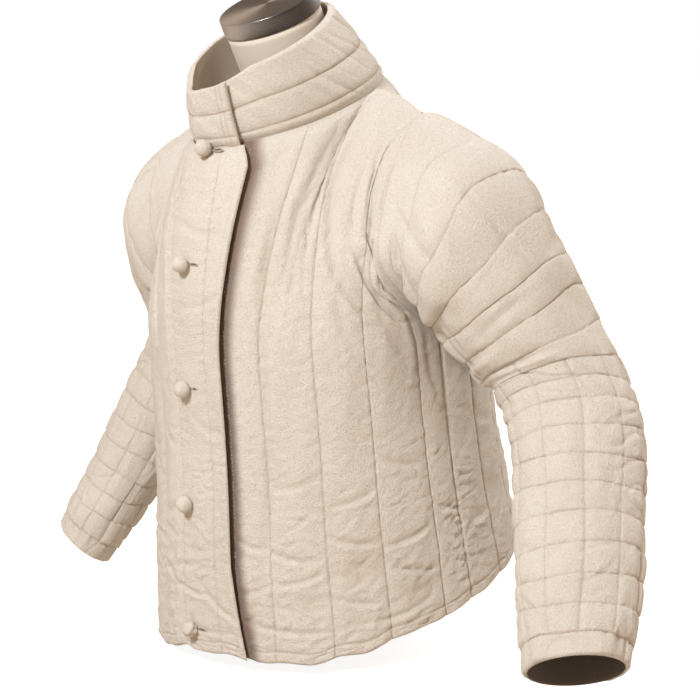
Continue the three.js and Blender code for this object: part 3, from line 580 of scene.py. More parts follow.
def shell(name: str, wall: Wall, step: int) -> bpy.types.Object:
    """A closed wall between a fine outer face and a coarse inner one.

    Args:
        name: Name of the piece.
        wall: Its two faces.
        step: Fine spans in a coarse one.

    Returns:
        The piece, its faces pointing out.
    """
    flat = flat_lengths(wall.outer, wall.ring) * MILLIMETRE
    outside = wall.outer.shape[0] * wall.outer.shape[1]
    inside = wall.inner.shape[0] * wall.inner.shape[1]
    fine, coarse = Lattice(0, flat, wall.ring), Lattice(outside, flat[::step, ::step], wall.ring)
    quads, rims = [fine.cells(False), coarse.cells(True)], []
    for up in ((False,) if wall.ring else (False, True)):
        for far in (False, True):
            edge, number = fan_rim(fine.size[not up], step)
            if up == far:
                edge, number = edge[:, ::-1], number[:, ::-1]
            on_fine, on_coarse = fine.rim(number, up, far), coarse.rim(number, up, far)
            rims.append((np.where(edge == 0, on_fine[0], on_coarse[0]),
                         np.where((edge == 0)[..., None], on_fine[1], on_coarse[1])))
    faces, places = zip(*((np.concatenate(numbers), np.concatenate(flats))
                          for numbers, flats in (zip(*quads), zip(*rims))))
    marks = {key: np.concatenate([m.ravel(), np.zeros(inside)]) for key, m in wall.marks.items()}
    # marks the inner face, where the finish paints the inside's light and shade
    marks["inside"] = np.concatenate([np.zeros(outside), np.ones(inside)])
    points = np.concatenate([wall.outer.reshape(-1, 3), wall.inner.reshape(-1, 3)])
    return build_mesh(name, in_frame(points), faces, places, marks)


def grid_normals(points: Array, ring: bool) -> Array:
    """Outward direction at each grid point: the run along the columns across the run up."""
    if ring:
        along = np.roll(points, -1, axis=1) - np.roll(points, 1, axis=1)
    else:
        along = np.gradient(points, axis=1)
    return unit(np.cross(along, np.gradient(points, axis=0)))


def turned_back(grid: Array) -> Array:
    """A ring's grid with its columns the other way round, from the same first one."""
    return np.roll(grid[:, ::-1], 1, axis=1)


def edge_round(distance: Array, radius: float) -> Array:
    """Share of a wall's thickness near its edge: a quarter circle from a fifth to the whole."""
    t = np.clip(distance / radius, 0, 1)
    return 0.2 + 0.8 * np.sqrt(np.maximum(0, 1 - (1 - t) ** 2))


# ---- sewing thread -------------------------------------------------------------------------
@dataclass(frozen=True)
class Thread:
    """Running stitches: short lens-shaped lengths of thread that dip into the cloth."""
    pitch: float = 4.4
    reach: float = 3.0
    width: float = 0.5
    height: float = 0.45
    stand: float = 0.18      # middle above the cloth
    dip: float = 0.3         # ends below the middle

    def lengths(self, path: Path) -> Array:
        """Six corners of each stitch on a path: two ends, two sides, a top and a bottom.

        The stitch's middle is at every pitch of the path's running length, and its corners
        are the middle plus reach/2 along, width across and height up.

        Args:
            path: The stitched line.

        Returns:
            Stitches, 6, 3.
        """
        run = running(path.points)
        at = np.arange(self.pitch, run[-1] - self.pitch, self.pitch)

        def read(values: Array, places: Array) -> Array:
            """Values along the path at places of its running length."""
            return np.stack([np.interp(places, run, values[:, k]) for k in range(3)], axis=-1)

        along = unit(read(path.points, at + 1) - read(path.points, at - 1))
        across = unit(np.cross(unit(read(path.normals, at)), along))
        up = np.cross(along, across)
        middle = read(path.points, at) + self.stand * up
        half, low = along * self.reach / 2, up * self.dip
        return np.stack([middle - half - low, middle + half - low, middle - across * self.width,
                         middle + across * self.width, middle + up * self.height,
                         middle - up * self.height], axis=1)

    def make(self, name: str, paths: Sequence[Path]) -> bpy.types.Object:
        """All the stitches of a panel as one mesh of eight-sided lengths."""
        corners = np.concatenate([self.lengths(path) for path in paths])
        faces = np.array([[0, 2, 4], [2, 1, 4], [1, 3, 4], [3, 0, 4],
                          [2, 0, 5], [1, 2, 5], [3, 1, 5], [0, 3, 5]])
        every = (faces[None] + 6 * np.arange(len(corners))[:, None, None]).reshape(-1, 3)
        return build_mesh(name, in_frame(corners.reshape(-1, 3)), [every])


# ---- pieces --------------------------------------------------------------------------------
def dress(piece: bpy.types.Object, finish: bpy.types.Material) -> bpy.types.Object:
    """Gives a piece its finish and its body, and reports it."""
    piece.data.materials.append(finish)
    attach(piece, "root")
    triangles = len(piece.data.loops) - 2 * len(piece.data.polygons)
    LOG.info("%s has %d triangles", piece.name, triangles)
    return piece


def carry(piece: bpy.types.Object, node: str,
          finish: bpy.types.Material) -> bpy.types.Object:
    """Dresses a piece and puts it in its node's place."""
    dress(piece, finish)
    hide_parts(node)
    LOG.info("%s stands for %s", piece.name, node)
    return piece


def drawn(outer: Array, facing: Array, places: Sequence[tuple]) -> list[Path]:
    """Stitched lines along rows or columns of a face, from its points and directions."""
    return [Path(outer[place], facing[place]) for place in places]


@dataclass
class Cloth:
    """A piece of the jacket: a closed quilted wall and the stitches through it."""
    name: str
    step: int = field(default=4, kw_only=True)   # outer spans to an inner one

    def wall(self) -> Wall:
        """The piece's two faces, marks and stitched lines."""
        raise NotImplementedError

    def make(self, node: str, finish: bpy.types.Material,
             thread: bpy.types.Material) -> tuple[bpy.types.Object, bpy.types.Object]:
        """The cloth in its node's place, and the stitches that go with it.

        Args:
            node: The node that the cloth stands for.
            finish: The cloth's finish.
            thread: The thread's finish.

        Returns:
            The cloth and its stitches.
        """
        wall = self.wall()
        cloth = carry(shell(self.name, wall, self.step), node, finish)
        stitches = Thread().make(f"{node}_stitches", wall.paths)
        return cloth, dress(stitches, thread)


# ---- body panels ---------------------------------------------------------------------------
@dataclass(frozen=True)
class Fold:
    """A soft ridge (+) or trough (-) from one place to another, with a lip on one side."""
    u0: float
    v0: float
    u1: float
    v1: float
    width: float
    depth: float
    lip: float = 0.0

    def height(self, u: Array, v: Array, scale: float) -> Array:
        """depth (exp(-x^2) - lip exp(-(x - 1.7)^2)) across a bowed line, fading past its ends.

        Args:
            u: Angles.
            v: Heights.
            scale: Length of a degree.

        Returns:
            Heights over the surface.
        """
        run_u, run_v = (self.u1 - self.u0) * scale, self.v1 - self.v0
        here_u, here_v = (u - self.u0) * scale, v - self.v0
        whole = math.hypot(run_u, run_v)
        t = (here_u * run_u + here_v * run_v) / whole
        arch = np.sin(math.pi * np.clip(t / whole, 0, 1))
        bow = math.copysign(FOLD_BOW, self.depth) * whole * arch
        x = ((here_u * run_v - here_v * run_u) / whole + bow) / self.width
        past = np.maximum(0, np.maximum(-t, t - whole))
        taper = bump(past / self.width) * (0.55 + 0.45 * arch)
        return self.depth * taper * (bump(x) - self.lip * bump(x - LIP_AT))


def fold_table(kind: type, *rows: tuple[float, ...]) -> tuple:
    """Folds of a kind from rows of their fields."""
    return tuple(kind(*row) for row in rows)


CHEST_FOLDS = fold_table(Fold,
    # soft ridges and troughs that run down from the neck and shoulder
    (18, 545, 20, 380, 5.1, 1.62, 0.4), (33, 560, 35, 400, 5.95, -2.59, 0.4),
    (38, 560, 41, 430, 5.1, 2.38, 0.24), (47, 560, 50, 410, 5.1, -2.81, 0.48),
    (53, 550, 57, 430, 5.1, 2.59, 0.24), (62, 470, 68, 380, 5.1, -2.59, 0.4),
    (29, 520, 31, 330, 4.25, 1.3, 0.32), (66, 385, 72, 330, 5.95, -2.16, 0.4),
    (52, 400, 56, 330, 6.8, -1.73, 0.32), (74, 370, 77, 300, 5.95, 1.94, 0.4),
    (84, 340, 86, 270, 5.1, -1.94, 0.4), (56, 436, 75, 354, 3.2, -5.0, .3),
    (61, 448, 79, 368, 3.0, -4.2, .3), (59, 442, 77, 361, 4.0, 3.2), (50, 420, 66, 352, 4.0, -2.6, .4))
LOW_FOLDS = fold_table(Fold,
    # uneven creases across the channels above the hem
    (26, 118, 41, 110, 3.42, -2.52, 0.42), (28, 84, 40, 94, 3.08, -2.18, 0.35),
    (44, 134, 58, 122, 3.42, -2.69, 0.42), (46, 66, 57, 58, 3.08, -2.35, 0.35),
    (61, 118, 76, 130, 3.42, -2.69, 0.42), (63, 94, 77, 82, 3.08, -2.35, 0.35),
    (13, 72, 24, 82, 3.42, -2.18, 0.35), (14, 130, 24, 122, 3.08, -1.68, 0.35),
    (80, 152, 89, 140, 3.42, -2.35, 0.35), (46, 168, 58, 178, 3.42, -1.85, 0.35),
    (62, 212, 76, 200, 4.1, -2.02, 0.35), (27, 188, 41, 198, 4.1, -1.51, 0.28),
    (16, 42, 42, 32, 3.08, -2.35, 0.35), (48, 38, 74, 52, 3.08, -2.35, 0.35),
    (30, 140, 38, 158, 2.74, -1.51, 0.35), (50, 96, 56, 110, 2.74, -1.68, 0.35))
GAP_FOLD = Fold(15.5, -20, 15.5, 600, 6, -2.6)
FLAP_FOLDS = fold_table(Fold,
    (-24, 520, -21, 330, 6.46, -1.46, 0.32), (-33, 540, -31, 380, 5.65, 1.64, 0.32),
    (-13, 72, 2, 66, 2.91, -2.55, 0.56), (1, 68, 11, 44, 2.91, -2.55, 0.56),
    (-7, 30, 8, 26, 2.75, -1.64, 0.48), (-14, 92, -4, 100, 4.04, -1.64, 0.4),
    (-5, 112, 8, 124, 4.04, -1.46, 0.4), (-3, 262, 10, 246, 4.84, -1.18, 0.4),
    (-4, 384, 9, 396, 4.84, -1.18, 0.4), (-6, 474, 8, 460, 4.84, -1.36, 0.4),
    (-20, 240, -13, 228, 4.84, -1.46, 0.4), (-22, 150, -13, 158, 4.84, -1.64, 0.4))


def other_side(folds: tuple[Fold, ...], tilt: float = 3.0, factor: float = 0.9) -> tuple[Fold, ...]:
    """Like folds for the other half: mirrored, a little shifted along and weaker."""
    return tuple(Fold(-f.u0 + tilt * 0.3, f.v0 - 2 * tilt, -f.u1, f.v1 + 3 * tilt, f.width * 1.1,
                      f.depth * factor, f.lip) for f in folds)


BACK_FOLDS = fold_table(Fold,
    (112, 430, 118, 330, 6.75, -2.34, 0.4), (130, 520, 128, 400, 6.75, 2.15, 0.32),
    (148, 540, 146, 420, 6, -1.75, 0.4), (168, 540, 170, 440, 6.75, 1.56, 0.32),
    (226, 510, 232, 400, 6.75, 2.15, 0.32), (246, 420, 240, 330, 6.75, -2.34, 0.4),
    (108, 230, 122, 222, 5.25, -1.56, 0.48), (126, 200, 140, 210, 5.25, -1.66, 0.48),
    (144, 236, 159, 226, 5.25, -1.36, 0.4), (163, 190, 178, 198, 5.25, -1.56, 0.48),
    (183, 220, 197, 210, 5.25, -1.46, 0.4), (201, 180, 216, 190, 5.25, -1.56, 0.48),
    (221, 214, 234, 204, 5.25, -1.46, 0.4), (238, 170, 252, 178, 5.25, -1.56, 0.48),
    (94, 120, 105, 128, 4.5, -1.46, 0.4), (256, 130, 267, 122, 4.5, -1.46, 0.4),
    (128, 120, 158, 132, 6, -1.75, 0.4), (200, 130, 232, 118, 6, -1.75, 0.4))
BODY_FOLDS = fold_table(Fold,
    (60, 440, 78, 372, 14, 7), (-60, 440, -78, 372, 14, 6), (45, 92, 58, 96, 12, -2.5),
    (64, 58, 77, 70, 12, -2.5), (27, 60, 41, 66, 11, -2), (108, 150, 122, 140, 13, -3),
    (-150, 150, -166, 138, 13, -3))
FLAP_LIFT = np.array([[-26, 0], [-20, 3], [-13, 6.4], [-8, 6.8], [4, 7.2], [9, 9], [12, 13.0]])
FLAP_EDGE = np.array([[0, 16.5], [.12, 14.5], [.3, 12], [1, 12], [1.4, 13], [1.85, 13.4], [2, 10.5]])
FLAP_WIDEST = 12.0
SIDE_LINES = (12.0, 25.0, 43.0, 60.0, 79.0)
BACK_LINES = (106.0, 124.0, 142.0, 161.0, 180.0)


@dataclass
class BodyPanel(Cloth):
    """One panel of the body: a quilted wall from the hem to its top edge."""
    low: float
    high: float
    columns: int
    rows: int
    lines: tuple[float, ...]
    seed: int
    flap: bool = False
    seam_low: bool = False
    seam_high: bool = False
    folds: tuple[Fold, ...] = ()
    sag: float = 0.0
    sag_at: float = -46.0
    sag_wide: float = 22.0

    def place(self, angle: Array, share: Array) -> Array:
        """Body angle of a column: past the middle of the flap it follows the flap's edge."""
        if not self.flap:
            return angle
        edge = np.interp(share, FLAP_EDGE[:, 0], FLAP_EDGE[:, 1])
        return np.where(angle <= 0, angle, angle * edge / FLAP_WIDEST)

    def lift(self, angle: Array) -> Array:
        """How far the flap stands off as it laps over the other front."""
        if not self.flap:
            return np.zeros_like(angle)
        return np.interp(angle, FLAP_LIFT[:, 0], FLAP_LIFT[:, 1])

    def nearest_line(self, angle: Array) -> tuple[Array, Array, Array]:
        """Signed degrees to the nearest line, its number, and the share across the channel.

        Args:
            angle: Angles of the columns.

        Returns:
            Degrees, numbers, and shares from 0 to 1.
        """
        lines = np.array(self.lines)
        number = np.argmin(np.abs(angle[..., None] - lines), axis=-1)
        ends = np.sort(np.concatenate([[self.low], lines, [self.high]]))
        channel = np.clip(np.searchsorted(ends, angle, side="right") - 1, 0, len(ends) - 2)
        across = (angle - ends[channel]) / np.maximum(ends[channel + 1] - ends[channel], 1e-6)
        return angle - lines[number], number, np.clip(across, 0, 1)

    def scallop(self, angle: Array) -> Array:
        """1 in the middle of a channel and 0 on its lines: the hem sags a little between lines."""
        return np.sin(math.pi * self.nearest_line(angle)[2])

    def base(self, angle: Array, share: Array) -> tuple[Array, Array]:
        """Each grid point's body angle, and the cloth's inner surface there.

        The lines stray a little, and the hem is uneven: it hangs lower between its lines,
        and by the panel's own sag round one place.

        Args:
            angle: Angles of the columns.
            share: Shares up the body, 0 to 2.

        Returns:
            Body angles, and points.
        """
        inward = smooth((angle - self.low) / 6) * smooth((self.high - angle) / 6)
        stray = 0.24 * inward * smooth((2 - share) / 0.2) * smooth(share / 0.1)
        girth = angle * GIRTH
        theta = self.place(angle, share) + stray * Ripples(self.seed + 7, 150, 320)(girth, share * 300)
        base = soft_body(theta, share)
        drop = Ripples(self.seed + 8, 26, 80)(girth, 0 * angle) - 0.6 * self.scallop(angle)
        base[..., 2] += 1.9 * drop * inward * smooth(1 - (base[..., 2] - base[:1, :, 2]) / 45)
        sag = self.sag * bump((angle - self.sag_at) / self.sag_wide)
        base[..., 2] -= sag * smooth(1 - (base[..., 2] - base[:1, :, 2]) / 90)
        return theta, base

    def padding(self, angle: Array, across: Array, to_line: Array, to_top: Array) -> Array:
        """Swell of the wadding: fuller between the lines, thin on the flap and at the top.

        Args:
            angle: Angles of the columns.
            across: Shares across the channel.
            to_line: Distances to the nearest line.
            to_top: Distances to the top edge.

        Returns:
            Thickness of the wadding.
        """
        swell = 0.42 + 0.18 * (1 - np.exp(-(to_line / 3.6) ** 1.5)) + 0.4 * np.sin(math.pi * across)
        fade = 0.35 + 0.65 * smooth(to_top / PUFF_FADE)
        thin = (self.flap & (angle > -FLAT_HALF)) | (np.abs(angle) < FLAT_HALF)
        return np.where(thin, 0.32, 1.0) * PANEL_PUFF * swell * fade

    def finish_sides(self, thick: Array, from_low: Array, from_high: Array) -> Array:
        """The wall drawn in where a side is sewn, and rounded off where it is free.

        Args:
            thick: The wall.
            from_low: Distances from the side of the low angle.
            from_high: Distances from the other side.

        Returns:
            The wall with its sides.
        """
        if self.seam_low:
            thick = thick - JOIN_DIP * bump(from_low / 2.6)
        else:
            thick = thick * edge_round(from_low, 3.0)
        if self.seam_high:
            return thick - JOIN_DIP * bump(from_high / 2.6)
        return thick * edge_round(from_high, 3.2)

    def shade(self, angle: Array, share: Array, around: Array, z: Array) -> Array:
        """Depth of shade under the flap's edge, and a little on the fronts below the armholes.

        Args:
            angle: Angles of the columns.
            share: Shares up the body.
            around: Body angles from the front.
            z: Heights.

        Returns:
            Shade from 0 to 1.
        """
        edge = np.interp(share, FLAP_EDGE[:, 0], FLAP_EDGE[:, 1])
        # painted shadow under the flap's edge, and painted shade below the armholes
        under = 0.9 * smooth((edge + 5.2 - angle) / 4.4) * (not self.flap and self.low < 0)
        pit = 0.36 * bump((around - 81) / 14) * bump((z - 318) / 62)
        return np.clip(under + pit * (self.low < 0), 0, 1)

    def wall(self) -> Wall:
        """The panel's two faces, marks and stitched lines.

        The outer face stands off the base by the flap's lift, the folds and the wall, along
        normals that turn to those of the top edge. The wall swells with its wadding, dips
        at the lines, and rolls up at the top by the armhole.
        """
        columns = spaced(self.low, self.high, self.columns, self.lines, near=1.1, boost=2.4, ends=1.5)
        rows = spaced(0, 2, self.rows, (0.04,), near=0.02, boost=0.8, ends=2.0)
        angle, share = np.meshgrid(columns, rows)
        theta, base = self.base(angle, share)
        around, side = halves(theta)
        top_point, top_normal = (part * vector(side, 1, 1) for part in top_edge(around)[:2])
        to_top, up, z = length(base - top_point), running(base), base[..., 2]
        own = grid_normals(base, False)
        normal = unit(own + (top_normal - own) * smooth(1 - to_top / SEAM_BLEND)[..., None])
        degree = length(np.gradient(base, axis=1)) / np.maximum(np.gradient(theta, axis=1), 1e-6)
        off, number, across = self.nearest_line(angle)
        to_line, seamed = np.abs(off) * degree, smooth(to_top / SEAM_BLEND)
        from_high = (self.high - angle) * degree

        detail = self.relief(angle, z, up, to_line, number, off)
        folds = sum((f.height(angle, z, GIRTH) for f in (*BODY_FOLDS, *self.folds)), np.zeros_like(z))
        rise = self.lift(angle) + folds * seamed
        puff = self.padding(angle, across, to_line, to_top)
        thick = SEAM_WALL + (PANEL_WALL - SEAM_WALL) * seamed + (puff + detail) * seamed
        roll = smooth((around - 62) / 6) * smooth((88 - around) / 8)
        thick = thick + roll * (3.4 * bump((to_top - 9) / 5) - 1.6 * bump((to_top - 19) / 5))
        thick = (thick - 1.1 * bump(to_line / 0.8) * seamed) * edge_round(up, 4.0)
        thick = self.finish_sides(thick, (angle - self.low) * degree, from_high)
        thick = thick - TOP_DIP * bump(to_top / 1.6)
        outer = base + normal * (rise + np.maximum(thick, 0.5))[..., None]
        inner = base + normal * np.minimum(rise, rise + thick - 0.4)[..., None]

        # the stitched lines' own darker tone, together with painted shade in their grooves
        seam = bump(to_line / 0.75) * seamed + 0.5 * bump((up - HEM_STITCH) / 1.0)
        # painted shade beside the lines, at the top seam, at the hem's stitched line and in the troughs of
        # the folds
        hollow_shade = (0.25 * bump(to_line / 2.6) + 0.5 * bump(to_top / 3.0)
                  + 0.5 * bump((up - HEM_STITCH) / 3.0) + np.clip(-0.5 * folds * seamed, 0, 1))
        marks = {"seam": np.clip(seam, 0, 1), "hollow_shade": np.clip(hollow_shade, 0, 1),
                 "shade": self.shade(angle, share, around, z)}
        sewn = slice(3, len(rows) - 6)
        places = [(sewn, nearest(columns, line)) for line in self.lines]
        places.append((nearest(up.mean(axis=1), HEM_STITCH), slice(2, -2)))
        if self.flap:
            places.append((sewn, nearest(from_high[len(rows) // 2], 6)))
        return Wall(outer, inner[::self.step, ::self.step], marks,
                    drawn(outer, grid_normals(outer, False), places))

    def relief(self, angle: Array, z: Array, up: Array, to_line: Array, number: Array,
               off: Array) -> Array:
        """Small uneven form: puckers, soft waves with fine creases, and the turned hem.

        Puckers are waves along a line that fade with the distance from it, exp(-d / 9); the
        waves between lines are long across the channels below and down them by the
        shoulders; the hem is a trough at its stitched line with cross waves below it.

        Args:
            angle: Angles of the columns.
            z: Heights.
            up: Running lengths from the hem.
            to_line: Distances to the nearest line.
            number: That line's number.
            off: Signed degrees to it.

        Returns:
            Heights over the wadding.
        """
        girth = angle * GIRTH

        def waves(seed: int, low: float, high: float, stretch: float = 1.0) -> Array:
            """Ripples over the panel."""
            return Ripples(self.seed + seed, low, high, stretch=stretch)(girth, z)

        line = number * 3.7 + self.seed + np.where(off > 0, 1.9, 0.0)
        along = Ripples(self.seed, 9, 30)
        puckers = 0.75 * along(line * 40, up) * np.exp(-to_line / PUCKER_FADE)
        low = 0.6 + 0.8 * smooth((220 - z) / 200)
        lower = 0.25 + 0.75 * smooth((300 - z) / 120)
        high = smooth((z - 340) / 120) * smooth((np.abs(angle) - 24) / 14)
        patch = smooth(0.6 + waves(21, 50, 120))
        soft = 0.95 * waves(1, 30, 110, 1.8) + 0.5 * low * waves(2, 14, 40, 0.5)
        soft = soft + 0.95 * high * waves(4, 15, 34, 4.5)
        soft = (soft + 1.3 * lower * patch * crease(waves(20, 26, 60, 0.4))
                + 1.3 * high * patch * crease(waves(22, 20, 44, 5.0)))
        hem = -1.0 * bump((up - HEM_STITCH) / 1.4) + 0.7 * bump((up - 6) / 6) * along(girth, up * 0.1)
        return puckers + soft * smooth(to_line / 14) + hem


# ---- sleeves -------------------------------------------------------------------------------
UPPER_LINES = (0.075, 0.15, 0.225, 0.3, 0.375, 0.445)
ELBOW, CUFF = 0.5, 0.965     # shares of its length where the grid starts and ends
GRID_LINES = tuple(ELBOW + (CUFF - ELBOW) * i / 10 for i in range(11))
SPOKE = 36                   # degrees between the grid's lengthwise lines
SLEEVE_OUTWARD = np.array([0.85, 0, 0.5])
LEFT_SECTIONS = np.array([   # share, centre, direction, narrow and wide radius
    [.13, 222, 22, 436, .88, .15, -.45, 86, 89], [.27, 241, 40, 382, .58, .28, -.77, 78, 81],
    [.4, 270, 53, 328, .48, .14, -.86, 66, 69], [.51, 301, 60, 280, .42, -.2, -.88, 56, 64],
    [.63, 338, 41, 225, .36, -.42, -.83, 48, 65], [.82, 386, -24, 118, .34, -.44, -.83, 44, 61],
    [1, 429, -92, 18, .42, -.47, -.78, 43, 50]])
RIGHT_SECTIONS = np.array([
    [.13, 222, 22, 436, .88, .15, -.45, 87, 87], [.27, 240, 40, 382, .58, .28, -.77, 80, 80],
    [.4, 272, 58, 330, .48, .14, -.86, 62, 72], [.51, 297, 64, 284, .42, -.2, -.88, 50, 64],
    [.63, 323, 42, 230, .34, -.4, -.85, 45, 61], [.82, 363, -10, 128, .32, -.41, -.85, 41, 58],
    [1, 404, -63, 36, .45, -.5, -.74, 33, 48]])


@dataclass(frozen=True)
class SleeveFold:
    """A fold across a sleeve: at a share of its length and an angle round it."""
    at: float
    phi: float
    wide: float
    round: float
    depth: float
    slant: float = 0.0
    lip: float = 0.0

    def height(self, phi: Array, at: Array) -> Array:
        """depth exp(-(turn/round)^2) (exp(-x^2) - lip exp(-(x - 1.7)^2)), slanted by the turn."""
        turn = np.mod(phi - self.phi + 540, 360) - 180
        x = (at - self.at - self.slant * turn / 100) / self.wide
        return self.depth * bump(turn / self.round) * (bump(x) - self.lip * bump(x - LIP_AT))


SLEEVE_FOLDS = fold_table(SleeveFold,
    (.485, 200, .02, 70, -7), (.52, 190, .02, 60, 5), (.445, 195, .018, 60, 5), (.2, 110, .03, 30, 4),
    (.020, 130, .012, 36, 4.5), (.052, 128, .012, 30, -2.6), (.11, 132, .02, 26, 2.6, -.02),
    (.385, 110, .012, 34, -2.8, .02, .5), (.455, 70, .011, 30, -3.2, -.015, .6),
    (.50, 100, .010, 40, 2.6, .012), (.335, 60, .013, 24, -2.0, .02, .5),
    (.565, 120, .011, 26, -2.0, -.02, .5), (.27, 330, .016, 30, -2.2, .03, .5),
    (.47, 300, .014, 36, -2.4, -.02, .5), (.11, 112, .045, 6, -2.6, .05), (.15, 120, .05, 6, 1.8, .05),
    (.19, 129, .045, 6, -3.0, .05), (.27, 118, .04, 6, -2.8, .04), (.31, 127, .04, 6, 1.8, .04),
    (.35, 135, .04, 7, -2.8, .03), (.42, 121, .03, 7, -2.4, .02), (.10, 76, .035, 6, -2.0, .06),
    (.18, 58, .03, 7, -1.8, .06), (.26, 88, .03, 6, -1.8, -.04), (.13, 248, .045, 7, -2.6, .05),
    (.24, 232, .045, 7, -2.8, .05), (.34, 240, .04, 7, -2.4, .04), (.41, 226, .03, 7, -2.2, .03))


@dataclass
class Sleeve(Cloth):
    """A sleeve: wide padded bands to the elbow, and a quilted grid below it."""
    sections: Array
    side: float
    seed: int
    columns: int = 180
    rows: int = 360
    turn: float = 45.0

    def surface(self, phi: Array, at: Array) -> Array:
        """Inner surface: a smooth curve down each phi through the seam and the sections.

        A section's point is its centre plus the narrow radius times cos and the wide one
        times sin of the angle, turned towards the front.

        Args:
            phi: Angles round the sleeve, rows by columns.
            at: Shares of its length, rows by columns.

        Returns:
            Points, rows by columns.
        """
        way = armhole_way(phi)
        start = armhole(phi)[0] + 0.15 * way
        direction = unit(self.sections[:, 4:7])
        out = unit(SLEEVE_OUTWARD - direction * (direction @ SLEEVE_OUTWARD)[:, None])
        front = np.cross(direction, out)
        turn = math.radians(self.turn)
        spot = np.radians(phi) - turn
        narrow = self.sections[:, 7, None, None] * np.cos(spot)
        wide = self.sections[:, 8, None, None] * np.sin(spot)
        across = narrow * math.cos(turn) - wide * math.sin(turn)
        along = narrow * math.sin(turn) + wide * math.cos(turn)
        rings = (self.sections[:, None, None, 1:4] + across[..., None] * out[:, None, None]
                 + along[..., None] * front[:, None, None])
        rows = np.concatenate([start[None], (start + 9 * way)[None], rings])
        knots = np.concatenate([[0, 0.02], self.sections[:, 0]])
        return self.clear_of_body(self.down_spline(knots, rows, at), start)

    @staticmethod
    def down_spline(knots: Array, rows: Array, at: Array) -> Array:
        """The table's smooth curve, read at a different share in each cell of a grid."""
        numbers, shares = span_parts(knots, at)
        picked = [np.take_along_axis(rows, k[None, ..., None], axis=0)[0] for k in numbers]
        return through(picked, [share[..., None] for share in shares])

    @staticmethod
    def clear_of_body(point: Array, start: Array) -> Array:
        """Points too near the body's oval move straight out to it, fading out at the armhole.

        Args:
            point: Points of the sleeve.
            start: The armhole's point of each column.

        Returns:
            Points.
        """
        room = SLEEVE_REST * smooth(length(point - start) / SLEEVE_REST_RUN)
        row = spline(BODY_SECTIONS[:, 0], BODY_SECTIONS[:, 1:], point[..., 2])
        away = point[..., 1] - BODY_MID
        depth = np.where(away < 0, row[..., 1], row[..., 2]) + room
        reach = np.maximum(np.hypot(point[..., 0] / (row[..., 0] + room), away / depth), 1e-3)
        weight = smooth((CHEST_LEVEL + 130 - point[..., 2]) / 80) * (reach < 1)
        factor = 1 + (1 / reach - 1) * weight
        return vector(point[..., 0] * factor, BODY_MID + away * factor, point[..., 2])

    def base(self, phi: Array, at: Array) -> Array:
        """The sleeve's inner surface with its lines straying a little along and round it.

        Args:
            phi: Angles round the sleeve.
            at: Shares of its length.

        Returns:
            Points.
        """
        free = smooth(at / 0.08) * smooth((1 - at) / 0.05)
        shift = 0.0065 * free * self.around_waves(self.seed + 5, 6, phi, at)
        shift = shift * (0.6 + 0.6 * smooth((0.6 - at) / 0.3))
        twist = 3.4 * free * self.around_waves(self.seed + 9, 3, phi, at) * smooth((at - 0.42) / 0.15)
        return self.surface(phi + twist, np.clip(at + shift, 0, 1))

    def padding(self, phi: Array, at: Array, ring: Array, spoke: Array, across: Array,
                band: Array, in_grid: Array) -> Array:
        """Swell of the wadding: each band and box a little its own way, and thin at the cuff.

        Args:
            phi: Angles round the sleeve.
            at: Shares of its length.
            ring: Distances to the nearest cross line.
            spoke: Distances to the nearest lengthwise line.
            across: Shares across the band.
            band: Numbers of the bands.
            in_grid: 1 in the grid, 0 in the bands above it.

        Returns:
            Thickness of the wadding.
        """
        plump = 1 + 0.28 * np.sin(np.floor(phi / SPOKE) % 10 * 2.9 + band * 1.7 + self.seed) * in_grid
        plump = plump + 0.22 * (1 - in_grid) * np.sin(np.radians(phi) * 2 + band * 2.1)
        plump = plump * np.where(band == 0, 0.45, np.where(band == 1, 0.8, 1.0))
        swell = 0.56 + 0.16 * (1 - np.exp(-(ring / 3.2) ** 1.5)) + 0.28 * np.sin(math.pi * across)
        boxed = swell * (0.55 + 0.2 * (1 - np.exp(-(spoke / 3.0) ** 1.5))
                         + 0.25 * np.abs(np.sin(math.pi * phi / SPOKE)))
        return plump * SLEEVE_PUFF * np.where(
            at > CUFF, 0.25 * swell, swell * (1 - in_grid) + boxed * in_grid)

    def wall(self) -> Wall:
        """The sleeve's two faces, marks and stitched lines, mirrored for the right arm.

        The outer face stands off the base by the folds and the wall, along normals that
        turn to those of the armhole; the wall swells in bands and boxes between its lines.
        """
        lines = (*UPPER_LINES, *GRID_LINES)
        phis = spaced(0, 360, self.columns, range(SPOKE, 360, SPOKE), near=3, boost=1.4, ends=0.7)[:-1]
        ats = spaced(0, 1, self.rows, lines, near=0.0045, boost=1.5, ends=1.5)
        phi, at = np.meshgrid(phis, ats)
        base = self.base(phi, at)
        own, down = grid_normals(base, True), running(base)
        to_seam = length(base - base[0])
        normal = unit(own + (armhole(phi)[1] - own) * smooth(1 - to_seam / SEAM_BLEND)[..., None])
        degree = length(np.roll(base, -1, 1) - np.roll(base, 1, 1)) / np.mod(
            np.roll(phi, -1, 1) - np.roll(phi, 1, 1), 360)
        knots = np.array([0, *lines, 1])
        band = np.clip(np.searchsorted(knots, at, side="right") - 1, 0, len(knots) - 2)
        across = np.clip((at - knots[band]) / (knots[band + 1] - knots[band]), 0, 1)
        ring = np.min(np.abs(at[..., None] - np.array(lines)), axis=-1) * (
            np.gradient(down, axis=0) / np.gradient(at, axis=0))
        in_grid = smooth((at - 0.492) / 0.012)
        spoke = np.abs(np.mod(phi + SPOKE / 2, SPOKE) - SPOKE / 2) * degree
        seamed = smooth(to_seam / SEAM_BLEND)

